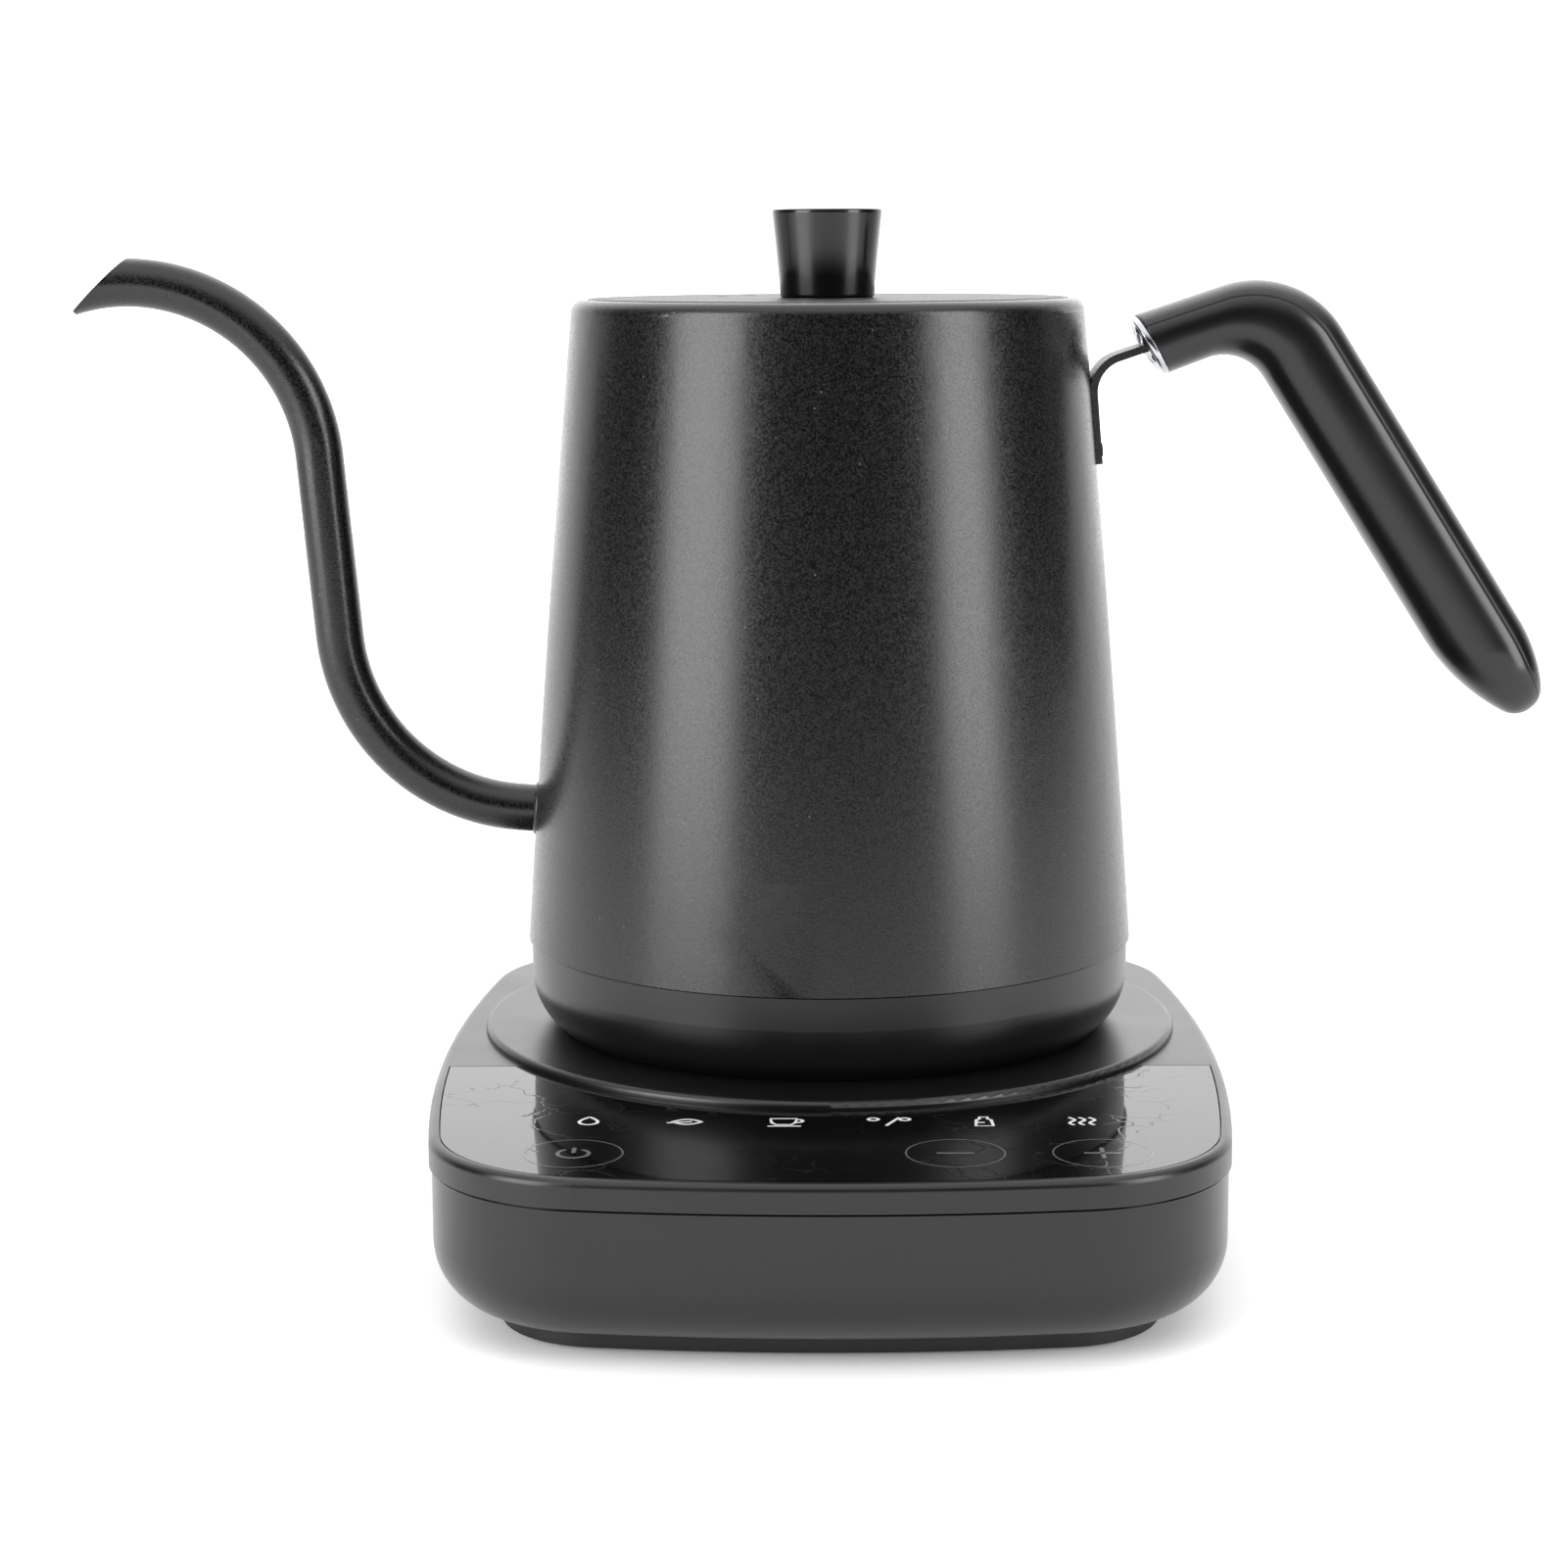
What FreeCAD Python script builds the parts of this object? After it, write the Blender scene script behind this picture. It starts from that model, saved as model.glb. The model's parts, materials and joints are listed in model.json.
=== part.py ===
import FreeCAD, Part

import math
import os
import re

import Sketcher
from FreeCAD import Rotation, Vector

# Gooseneck electric kettle on its round-connector base.
# The Z axis is the kettle's own axis and z = 0 is the table.
# -Y is the front, where the touch panel is, -X the spout and +X the handle.
# Lengths are in millimetres and angles in degrees.

SIZES = (
    # base: outline seen from above
    ("base_half_width", 75.1, "half the width of the base"),
    ("base_half_depth", 93.8, "half the depth of the base"),
    ("base_offset", 22.7, "how far the base's middle lies in front of the kettle's axis"),
    ("side_bow", 500.0, "radius of the base's slightly bowed sides"),
    ("front_bow", 320.0, "radius of the base's slightly bowed front and back"),
    ("base_corner", 32.0, "corner radius of the base"),
    # base: heights
    ("feet_drop", 0.7, "how far the rubber feet stand below the foot plate"),
    ("foot_rise", 3.1, "visible height of the foot plate's rim"),
    ("foot_inset", 12.0, "how far the foot plate's rim lies inside the lower shell"),
    ("foot_floor", 2.4, "thickness of the foot plate's floor"),
    ("foot_step", 4.0, "width of the ledge where the foot plate meets the lower shell"),
    ("shell_rise", 25.5, "height of the lower shell"),
    ("shell_wall", 2.2, "wall of the lower shell"),
    ("shell_edge", 12.0, "rounding of the lower shell's bottom edge"),
    ("shell_setback", 0.5, "how far the lower shell lies inside the top cover"),
    ("reveal_rise", 0.5, "height of the shadow gap under the top cover"),
    ("reveal_depth", 0.7, "depth of that shadow gap in the lower shell"),
    ("cover_rise", 5.2, "height of the top cover's rim"),
    ("cover_edge", 1.5, "rounding of the top cover's edge"),
    ("cover_wall", 2.6, "wall of the top cover"),
    # platform and touch panel
    ("plate_radius", 69.2, "radius of the platform"),
    ("plate_rise", 1.5, "how far the platform stands above the cover"),
    ("plate_edge", 1.1, "rounding of the platform's edge"),
    ("plate_spigot", 40.0, "radius of the platform's spigot in the cover"),
    ("plate_hole", 15.0, "radius of the platform's hole for the connector"),
    ("panel_rear", 37.3, "distance of the panel's back edge from the kettle's axis"),
    ("panel_inset", 2.2, "border of the cover round the panel"),
    ("panel_thickness", 1.6, "thickness of the glossy touch panel"),
    ("panel_gap", 0.25, "gap round the panel"),
    # connector between base and kettle
    ("well_radius", 14.0, "radius of the well in the base connector"),
    ("well_depth", 3.6, "depth of that well below the platform"),
    ("post_radius", 9.0, "radius of the connector's middle post"),
    ("post_rise", 8.4, "height of the post above the platform"),
    ("sleeve_gap", 0.4, "gap between the kettle's sleeve and the base connector"),
    ("sleeve_lift", 0.8, "gap between the sleeve's foot and the floor of the well"),
    ("sleeve_roof", 2.0, "thickness of the sleeve's closed end"),
    ("connector_flange", 8.0, "width of the connector's flange under the platform"),
    ("connector_floor", 3.0, "depth of the connector below the platform's spigot"),
    ("socket_radius", 2.5, "radius of the socket in the post"),
    ("pin_radius", 1.6, "radius of the pin in that socket"),
    ("contact_width", 1.6, "width of a contact ring"),
    ("contact_low", 1.6, "height of the lower contact ring above the platform"),
    ("contact_high", 4.8, "height of the upper contact ring above the platform"),
    ("contact_proud", 0.15, "how far the contact rings stand out of the post"),
    # fasteners and feet of the base
    ("foot_pad_radius", 6.0, "radius of a rubber foot"),
    ("foot_pad_seat", 1.0, "depth of a rubber foot's seat"),
    ("pad_x", 44.0, "sideways place of the rubber feet"),
    ("pad_spread", 60.0, "half the distance between front and back rubber feet"),
    ("screw_x", 50.0, "sideways place of the base screws"),
    ("screw_spread", 38.0, "half the distance between front and back base screws"),
    ("screw_shank", 1.45, "radius of a base screw's shank"),
    ("screw_head", 2.8, "radius of a base screw's head"),
    ("head_rise", 1.1, "thickness of a screw's head"),
    ("screw_length", 12.0, "length of a base screw"),
    ("screw_play", 0.3, "gap round a screw in the plates that it passes through"),
    ("boss_wall", 2.2, "wall of a screw boss"),
    # cord gland
    ("cord_bore", 3.4, "radius of the cord gland's bore"),
    ("gland_wall", 1.8, "wall of the cord gland"),
    ("gland_height", 21.6, "height of the cord gland above the table"),
    # steel body
    ("seat_gap", 0.2, "gap under the standing kettle"),
    ("collar_rise", 17.0, "height of the plastic collar"),
    ("collar_radius", 59.7, "radius of the collar at the seam"),
    ("collar_straight", 6.5, "height of the collar's upright band"),
    ("collar_edge", 13.5, "rounding of the collar's lower edge"),
    ("collar_wall", 2.0, "wall of the collar"),
    ("collar_lip", 5.5, "width of the collar's flat underside"),
    ("seam_gap", 0.35, "open seam between the collar and the steel body"),
    ("part_gap", 0.3, "gap between pieces that are put together by hand"),
    # heater and sensor under the steel floor
    ("heater_radius", 50.0, "radius of the heater plate"),
    ("heater_thickness", 3.0, "thickness of the heater plate"),
    ("post_circle", 40.0, "radius of the circle of the bottom cover's screws"),
    ("cover_post", 3.4, "radius of a screw post"),
    ("cover_shank", 1.4, "radius of a bottom cover screw's shank"),
    ("cover_head", 3.0, "radius of a bottom cover screw's head"),
    ("cover_screw_length", 9.0, "length of a bottom cover screw"),
    ("element_ring", 24.0, "radius of the heating tube's ring"),
    ("element_radius", 3.2, "radius of the heating tube"),
    ("sensor_reach", 30.0, "distance of the sensor in front of the axis"),
    ("sensor_radius", 2.5, "radius of the sensor's tip"),
    ("sensor_foot", 5.5, "radius of the sensor's foot"),
    ("sensor_length", 12.0, "length of the sensor's tip"),
    ("seal_radius", 4.0, "radius of the sensor's seal in the floor"),
    ("cutout_reach", 36.0, "sideways place of a thermal cut-out"),
    ("cutout_radius", 6.5, "radius of a thermal cut-out"),
    ("body_foot_radius", 60.3, "radius of the steel body at the seam"),
    ("body_top_radius", 50.2, "radius of the steel body below its shoulder"),
    ("body_rise", 126.1, "height of the steel body"),
    ("body_belly", 6000.0, "radius of the steel body's slight belly"),
    ("body_wall", 1.0, "wall of the steel body"),
    ("shoulder", 2.6, "rounding of the body's shoulder"),
    ("mouth_radius", 46.85, "radius of the mouth"),
    ("ledge_width", 1.7, "width of the ledge that the lid rests on"),
    ("ledge_drop", 1.1, "depth of the ledge below the rim"),
    ("skirt_drop", 3.0, "how far the steel floor stands above the seam"),
    # spout
    ("spout_radius", 4.75, "outer radius of the spout"),
    ("spout_wall", 0.9, "wall of the spout"),
    ("spout_exit_rise", 25.15, "height above the seam where the spout meets the body"),
    ("spout_exit_tilt", 4.2, "rise of the spout where it leaves the body"),
    ("spout_exit_run", 2.9, "straight stretch of the spout outside the body"),
    ("spout_low_bend", 38.05, "radius of the spout's lower bend"),
    ("spout_lean", 4.84, "lean of the spout's upright stretch"),
    ("spout_upright", 35.7, "length of the spout's upright stretch"),
    ("spout_top_bend", 37.25, "radius of the spout's upper bend"),
    ("spout_dip", 18.0, "how far the spout's mouth dips past level"),
    ("lip_back", 1.4, "how far the spout's lower lip lies behind the bend's end"),
    ("lip_drop", 3.7, "how far the lower lip lies under the bend's end"),
    ("spout_cut_tilt", 43.9, "slant of the cut at the spout's mouth"),
    # handle
    ("handle_corner_reach", 91.95, "reach of the handle's outer corner"),
    ("handle_corner_rise", 133.2, "height of the handle's outer corner above the seam"),
    ("run_tilt", 18.6, "rise of the handle's upper run"),
    ("run_thickness", 12.8, "thickness of the handle's upper run"),
    ("run_length", 35.0, "length of the upper run's top line, from the cap to the corner"),
    ("cap_slant", 12.0, "slant of the handle's cap from square"),
    ("cap_thickness", 1.4, "thickness of the handle's cap"),
    ("grip_tilt", 32.4, "lean of the handle's grip"),
    ("grip_thickness", 18.0, "thickness of the grip"),
    ("grip_width", 18.4, "width of the grip"),
    ("grip_outer", 85.6, "length of the grip's outer line from the corner"),
    ("inner_lead", -2.24, "how far the grip's inner line runs on past the outer line's end"),
    ("bend_outer", 20.0, "outer bend radius of the handle"),
    ("bend_inner", 9.5, "inner bend radius of the handle"),
    ("tip_outer", 26.0, "rounding of the grip's end, outside"),
    ("tip_nose", 6.4, "rounding of the grip's end, at its nose"),
    ("tip_inner", 19.5, "rounding of the grip's end, inside"),
    ("grip_round", 5.8, "rounding of the grip's long edges"),
    # bracket
    ("strip_thickness", 1.5, "thickness of the bracket's steel strip"),
    ("strip_width", 12.0, "width of the strip"),
    ("strip_low", 93.9, "height of the strip's lower end above the seam"),
    ("strip_bend", 7.0, "bend radius at the strip's middle line"),
    ("strip_sink", 0.45, "how far the strip's flat back would lie inside the round body"),
    ("strip_slot_gap", 0.15, "gap round the strip in the handle"),
    ("tang_length", 20.0, "length of the strip inside the handle"),
    # lid
    ("lid_gap", 0.35, "gap round the lid"),
    ("lid_rest_gap", 0.1, "gap under the lid's rim"),
    ("lid_thickness", 1.2, "thickness of the lid"),
    ("lid_skirt_rise", 10.0, "depth of the lid's skirt"),
    ("lid_skirt_wall", 0.8, "wall of the lid's skirt"),
    ("knob_top_radius", 10.77, "radius of the knob's top"),
    ("knob_foot_radius", 9.2, "radius of the knob's foot"),
    ("knob_rise", 17.0, "height of the knob"),
    ("vent_radius", 1.5, "radius of a steam vent"),
    ("vent_reach", 28.0, "distance of the vents from the knob's axis"),
    ("vent_bearing", 132.0, "bearing of the pair of vents, from +X"),
    ("vent_spread", 7.6, "half the angle between the two vents"),
)

# Heights and places worked out from the sizes above.
PLACES = {
    "foot_base": "feet_drop",
    "shell_base": "feet_drop + foot_rise",
    "cover_base": "feet_drop + foot_rise + shell_rise",
    "cover_top": "feet_drop + foot_rise + shell_rise + cover_rise",
    "plate_top": "feet_drop + foot_rise + shell_rise + cover_rise + plate_rise",
    "collar_base": "plate_top + seat_gap",
    "seam": "collar_base + collar_rise",
    "rim": "seam + body_rise",
    "floor_base": "seam + skirt_drop",
    "lid_base": "rim - ledge_drop + lid_rest_gap",
    "lid_top": "lid_base + lid_thickness",
    "lid_skirt_radius": "mouth_radius - ledge_width - lid_gap",
    "collar_foot": "collar_radius - collar_edge + sqrt(collar_edge * collar_edge"
                   " - (collar_rise - collar_straight) * (collar_rise - collar_straight))",
    "heater_base": "floor_base - heater_thickness",
    "cover_lid_top": "collar_base + collar_wall + 1.2",
    "taper": "atan((body_foot_radius - body_top_radius) / (body_rise - shoulder)) / 1 deg",
    "turn": "run_tilt + 90 - grip_tilt",
    "cap_top_x": "handle_corner_reach - run_length * cos(run_tilt)",
    "cap_top_z": "seam + handle_corner_rise - run_length * sin(run_tilt)",
    "inner_x": "handle_corner_reach - cos(run_tilt) * grip_thickness / sin(turn)"
               " + sin(grip_tilt) * run_thickness / sin(turn)",
    "inner_z": "seam + handle_corner_rise - sin(run_tilt) * grip_thickness / sin(turn)"
               " - cos(grip_tilt) * run_thickness / sin(turn)",
    "grip_inner": "grip_outer + inner_lead + (handle_corner_reach - inner_x) * sin(grip_tilt)"
                  " - (seam + handle_corner_rise - inner_z) * cos(grip_tilt)",
    "cap_lead": "run_thickness * tan(cap_slant)",
    "strip_x": "cap_top_x + sin(run_tilt) * run_thickness / 2 + cos(run_tilt) * cap_lead / 2",
    "strip_z": "cap_top_z - cos(run_tilt) * run_thickness / 2 + sin(run_tilt) * cap_lead / 2",
}

doc = FreeCAD.newDocument("gooseneck_kettle")
sheet = doc.addObject("Spreadsheet::Sheet", "Sizes")
for row, (alias, size, note) in enumerate(SIZES, start=1):
    sheet.set(f"A{row}", note)
    sheet.set(f"B{row}", str(size))
    sheet.setAlias(f"B{row}", alias)
doc.recompute()

ALIASES = {alias for alias, size, note in SIZES}
pieces = []


# ---- expressions, sketches and features ----

def link(text):
    """Write a formula of sizes and places as an expression that reads the sheet."""
    def expand(match):
        word = match.group(0)
        if word in PLACES:
            return "(" + link(PLACES[word]) + ")"
        return "Sizes." + word if word in ALIASES else word

    return re.sub(r"[a-z_]+", expand, str(text))


def number(text):
    """The present value of such a formula."""
    return float(sheet.evalExpression(link(text)))


def bind(thing, path, text):
    """Tie one property of an object to the sheet."""
    thing.setExpression(path, link(text))


def piece(label, thing):
    """Name a finished sub-part and put it on the list of those that are written out."""
    thing.Label = label
    pieces.append(thing)
    return thing


def new_body(name):
    return doc.addObject("PartDesign::Body", name)


def new_sketch(body, plane="XZ_Plane", offset="0"):
    """A sketch on one of the body's own planes, moved along the plane's normal."""
    sketch = body.newObject("Sketcher::SketchObject", body.Name + "_sketch")
    origin = [f for f in body.Origin.OriginFeatures if f.Role == plane][0]
    sketch.AttachmentSupport = [(origin, "")]
    sketch.MapMode = "FlatFace"
    bind(sketch, "AttachmentOffset.Base.z", offset)
    return sketch


def pin_point(sketch, geometry, end, x_text, y_text):
    """Hold one point of a sketch at a place given by two formulas."""
    for kind, text in (("DistanceX", x_text), ("DistanceY", y_text)):
        index = sketch.addConstraint(
            Sketcher.Constraint(kind, -1, 1, geometry, end, number(text)))
        bind(sketch, f"Constraints[{index}]", text)


def hold_radius(sketch, geometry, text):
    index = sketch.addConstraint(Sketcher.Constraint("Radius", geometry, number(text)))
    bind(sketch, f"Constraints[{index}]", text)


def add_arc(sketch, start, finish, radius, side):
    """An arc from start to finish whose centre is left (side 1) or right (side -1) of the way.

    Returns the geometry's index and which of its ends is the start and which the finish.
    """
    chord = finish - start
    middle = (start + finish) * 0.5
    left = Vector(-chord.y, chord.x, 0).normalize()
    drop = math.sqrt(max(radius ** 2 - (chord.Length / 2) ** 2, 0.0))
    centre = middle + left * (drop * side)
    first, last = (start, finish) if side > 0 else (finish, start)
    angle_first = math.atan2(first.y - centre.y, first.x - centre.x)
    angle_last = math.atan2(last.y - centre.y, last.x - centre.x)
    ring = Part.Circle(centre, Vector(0, 0, 1), radius)
    index = sketch.addGeometry(Part.ArcOfCircle(ring, angle_first, angle_last))
    return (index, 1, 2) if side > 0 else (index, 2, 1)


def draw_outline(sketch, corners, arcs=None, closed=True):
    """Draw an outline through corners given as pairs of formulas.

    arcs maps a corner's number to the radius formula and side of the arc that leaves it.
    """
    arcs = arcs or {}
    points = [Vector(number(x), number(y), 0) for x, y in corners]
    count = len(corners) if closed else len(corners) - 1
    edges = []
    for i in range(count):
        start, finish = points[i], points[(i + 1) % len(points)]
        if i in arcs:
            radius, side = arcs[i]
            edge = add_arc(sketch, start, finish, number(radius), side)
        else:
            edge = (sketch.addGeometry(Part.LineSegment(start, finish)), 1, 2)
        edges.append(edge)
    joints = len(edges) if closed else len(edges) - 1
    for i in range(joints):
        this, following = edges[i], edges[(i + 1) % len(edges)]
        sketch.addConstraint(
            Sketcher.Constraint("Coincident", this[0], this[2], following[0], following[1]))
    for edge, (x_text, y_text) in zip(edges, corners):
        pin_point(sketch, edge[0], edge[1], x_text, y_text)
    if not closed:
        pin_point(sketch, edges[-1][0], edges[-1][2], *corners[-1])
    for i, (radius, side) in arcs.items():
        hold_radius(sketch, edges[i][0], radius)


def draw_circle(sketch, x_text, y_text, radius_text):
    centre = Vector(number(x_text), number(y_text), 0)
    index = sketch.addGeometry(Part.Circle(centre, Vector(0, 0, 1), number(radius_text)))
    pin_point(sketch, index, 3, x_text, y_text)
    hold_radius(sketch, index, radius_text)


def draw_base_plan(sketch, inset):
    """The base's outline from above, moved inwards: four long arcs and four corner arcs."""
    width, depth = number("base_half_width"), number("base_half_depth")
    side, front = number("side_bow"), number("front_bow")
    middle_y = -number("base_offset")
    gap = number(inset)
    corner = number("base_corner")
    # The corner arc's centre, from the two long arcs that it touches.
    side_reach, front_reach = side - corner, front - corner
    first, second = Vector(width - side, 0, 0), Vector(0, depth - front, 0)
    between = second - first
    along = (side_reach ** 2 - front_reach ** 2 + between.Length ** 2) / (2 * between.Length)
    across = math.sqrt(side_reach ** 2 - along ** 2)
    unit = between.normalize()
    corner_x = first.x + unit.x * along - unit.y * across
    corner_y = first.y + unit.y * along + unit.x * across
    if corner_x < 0 or corner_y < 0:
        corner_x = first.x + unit.x * along + unit.y * across
        corner_y = first.y + unit.y * along - unit.x * across
    # Angles at which the arcs meet, in the first quadrant.
    low = math.atan2(corner_y, corner_x - (width - side))
    high = math.atan2(corner_y - (depth - front), corner_x)
    long_arcs = (
        ("base_half_width - side_bow", "0", "side_bow", -low, low),
        ("0", "base_half_depth - front_bow", "front_bow", high, math.pi - high),
        ("side_bow - base_half_width", "0", "side_bow", math.pi - low, math.pi + low),
        ("0", "front_bow - base_half_depth", "front_bow", math.pi + high, 2 * math.pi - high),
    )
    quarter = (
        (corner_x, corner_y, low, high),
        (-corner_x, corner_y, math.pi - high, math.pi - low),
        (-corner_x, -corner_y, math.pi + low, math.pi + high),
        (corner_x, -corner_y, 2 * math.pi - high, 2 * math.pi - low),
    )
    ring = []
    for (x_text, y_text, radius, start, finish), (x, y, begin, end) in zip(long_arcs, quarter):
        centre = Vector(number(x_text), number(y_text) + middle_y, 0)
        circle = Part.Circle(centre, Vector(0, 0, 1), number(radius) - gap)
        index = sketch.addGeometry(Part.ArcOfCircle(circle, start, finish))
        pin_point(sketch, index, 3, x_text, f"{y_text} - base_offset")
        hold_radius(sketch, index, f"{radius} - ({inset})")
        ring.append(index)
        circle = Part.Circle(Vector(x, y + middle_y, 0), Vector(0, 0, 1), corner - gap)
        index = sketch.addGeometry(Part.ArcOfCircle(circle, begin, end))
        hold_radius(sketch, index, f"base_corner - ({inset})")
        ring.append(index)
    for i, index in enumerate(ring):
        following = ring[(i + 1) % len(ring)]
        sketch.addConstraint(Sketcher.Constraint("Tangent", index, 2, following, 1))


def pad(body, sketch, length, turned=False):
    feature = body.newObject("PartDesign::Pad", body.Name + "_pad")
    feature.Profile = sketch
    feature.Reversed = turned
    bind(feature, "Length", length)
    doc.recompute()
    return feature


def pocket(body, sketch, depth, turned=False):
    """Cut a sketch into the body and check that it took something away."""
    before = body.Shape.Volume
    feature = body.newObject("PartDesign::Pocket", body.Name + "_pocket")
    feature.Profile = sketch
    feature.Reversed = turned
    bind(feature, "Length", depth)
    doc.recompute()
    if body.Shape.Volume >= before - 1e-6:
        raise RuntimeError(f"{body.Name}: a pocket cuts nothing")
    return feature


def revolve(body, sketch, axis="V_Axis"):
    feature = body.newObject("PartDesign::Revolution", body.Name + "_revolution")
    feature.Profile = sketch
    feature.ReferenceAxis = (sketch, [axis])
    feature.Angle = 360
    doc.recompute()
    return feature


def fillet(body, feature, radius, chosen):
    """Round the edges of a feature that the test `chosen` picks by their bounding box."""
    names = []
    for index, edge in enumerate(feature.Shape.Edges, start=1):
        if chosen(edge.BoundBox):
            names.append(f"Edge{index}")
    if not names:
        raise RuntimeError(f"{body.Name}: no edge to round")
    rounded = body.newObject("PartDesign::Fillet", body.Name + "_fillet")
    rounded.Base = (feature, names)
    bind(rounded, "Radius", radius)
    doc.recompute()
    return rounded


def at_height(height, smallest=0.0):
    """A test for level edges at one height that are at least a given size across."""
    level = number(height)

    def test(box):
        flat = abs(box.ZMin - level) < 1e-4 and abs(box.ZMax - level) < 1e-4
        return flat and max(box.XLength, box.YLength) >= smallest

    return test


def turned_piece(label, corners, arcs=None):
    """A sub-part turned round the Z axis from its outline of radii and heights."""
    body = new_body(label)
    sketch = new_sketch(body)
    draw_outline(sketch, corners, arcs)
    revolve(body, sketch)
    return body


def cylinder(name, radius, height, x="0", y="0", z="0"):
    solid = doc.addObject("Part::Cylinder", name)
    bind(solid, "Radius", radius)
    bind(solid, "Height", height)
    for axis, text in zip("xyz", (x, y, z)):
        bind(solid, f"Placement.Base.{axis}", text)
    return solid


def block(name, length, width, height, x, y, z):
    """A box centred at x and y that stands on z."""
    solid = doc.addObject("Part::Box", name)
    bind(solid, "Length", length)
    bind(solid, "Width", width)
    bind(solid, "Height", height)
    bind(solid, "Placement.Base.x", f"{x} - ({length}) / 2")
    bind(solid, "Placement.Base.y", f"{y} - ({width}) / 2")
    bind(solid, "Placement.Base.z", z)
    return solid


def fuse(name, parts):
    joined = doc.addObject("Part::MultiFuse", name)
    joined.Shapes = parts
    joined.Refine = True
    doc.recompute()
    return joined


def cut(name, base, tool):
    """Take one solid from another and check that something went."""
    result = doc.addObject("Part::Cut", name)
    result.Base = base
    result.Tool = tool
    doc.recompute()
    if result.Shape.Volume >= base.Shape.Volume - 1e-6:
        raise RuntimeError(f"{name}: the tool cuts nothing")
    return result


def group(name, parts):
    """Several separate solids of one kind in one sub-part."""
    compound = doc.addObject("Part::Compound", name)
    compound.Links = parts
    doc.recompute()
    return compound


FOUR_CORNERS = ((-1, -1), (1, -1), (1, 1), (-1, 1))


def corner_places(x_text, spread_text):
    """Four places in a rectangle round the base's middle."""
    return [(f"{sx} * {x_text}", f"{sy} * {spread_text} - base_offset") for sx, sy in FOUR_CORNERS]


# ---- the base ----

def post_places():
    """The three places of the bottom cover's screws and their posts."""
    return [(f"post_circle * cos({bearing})", f"post_circle * sin({bearing})") for bearing in (90, 210, 330)]


def make_lower_shell():
    """A bowl with a rounded bottom edge, open below for the foot plate and above for the cover."""
    body = new_body("lower_shell")
    plan = new_sketch(body, "XY_Plane", "shell_base")
    draw_base_plan(plan, "shell_setback")
    pad(body, plan, "shell_rise - reveal_rise")
    neck = new_sketch(body, "XY_Plane", "cover_base - reveal_rise")
    draw_base_plan(neck, "shell_setback + reveal_depth")
    pad(body, neck, "reveal_rise")
    hollow = new_sketch(body, "XY_Plane", "cover_base")
    draw_base_plan(hollow, "shell_setback + shell_wall")
    cavity = pocket(body, hollow, "shell_rise - shell_wall")
    inner = fillet(body, cavity, "shell_edge - shell_wall", at_height("shell_base + shell_wall"))
    fillet(body, inner, "shell_edge", at_height("shell_base"))
    opening = new_sketch(body, "XY_Plane", "shell_base + shell_wall + 1")
    draw_base_plan(opening, "shell_setback + foot_inset + foot_step")
    pocket(body, opening, "shell_wall + 2")
    # The round hole in the back wall that holds the cord gland.
    hole = new_sketch(body, "XZ_Plane", "base_offset - base_half_depth - 1")
    draw_circle(hole, "0", "gland_height", "cord_bore + gland_wall")
    pocket(body, hole, "shell_wall + 4", turned=True)
    return body


def make_foot_plate():
    """The bottom cover: a shallow tray whose rim is the dark foot under the lower shell."""
    body = new_body("foot_plate")
    rim = new_sketch(body, "XY_Plane", "foot_base")
    draw_base_plan(rim, "shell_setback + foot_inset")
    pad(body, rim, "foot_rise")
    step = new_sketch(body, "XY_Plane", "shell_base")
    draw_base_plan(step, "shell_setback + foot_inset + foot_step + panel_gap")
    pad(body, step, "shell_wall")
    tray = new_sketch(body, "XY_Plane", "shell_base + shell_wall")
    draw_base_plan(tray, "shell_setback + foot_inset + foot_step + shell_wall")
    pocket(body, tray, "foot_rise + shell_wall - foot_floor")
    seats = new_sketch(body, "XY_Plane", "foot_base")
    for x_text, y_text in corner_places("pad_x", "pad_spread"):
        draw_circle(seats, x_text, y_text, "foot_pad_radius + panel_gap")
    pocket(body, seats, "foot_pad_seat", turned=True)
    heads = new_sketch(body, "XY_Plane", "foot_base")
    for x_text, y_text in corner_places("screw_x", "screw_spread"):
        draw_circle(heads, x_text, y_text, "screw_head + screw_play")
    pocket(body, heads, "head_rise + 0.2", turned=True)
    shanks = new_sketch(body, "XY_Plane", "foot_base")
    for x_text, y_text in corner_places("screw_x", "screw_spread"):
        draw_circle(shanks, x_text, y_text, "screw_shank + screw_play")
    pocket(body, shanks, "foot_floor + 1", turned=True)
    return body


def make_rubber_feet():
    pads = []
    for i, (x_text, y_text) in enumerate(corner_places("pad_x", "pad_spread")):
        height = "feet_drop + foot_pad_seat"
        pads.append(cylinder(f"rubber_foot_{i}", "foot_pad_radius", height, x_text, y_text))
    return group("rubber_feet", pads)


def make_base_screws():
    screws = []
    for i, (x_text, y_text) in enumerate(corner_places("screw_x", "screw_spread")):
        head = cylinder(f"screw_head_{i}", "screw_head", "head_rise", x_text, y_text, "foot_base + 0.2")
        shank = cylinder(f"screw_shank_{i}", "screw_shank", "screw_length", x_text, y_text, "foot_base + 0.2")
        screws.append(fuse(f"base_screw_{i}", [head, shank]))
    return group("base_screws", screws)


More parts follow.
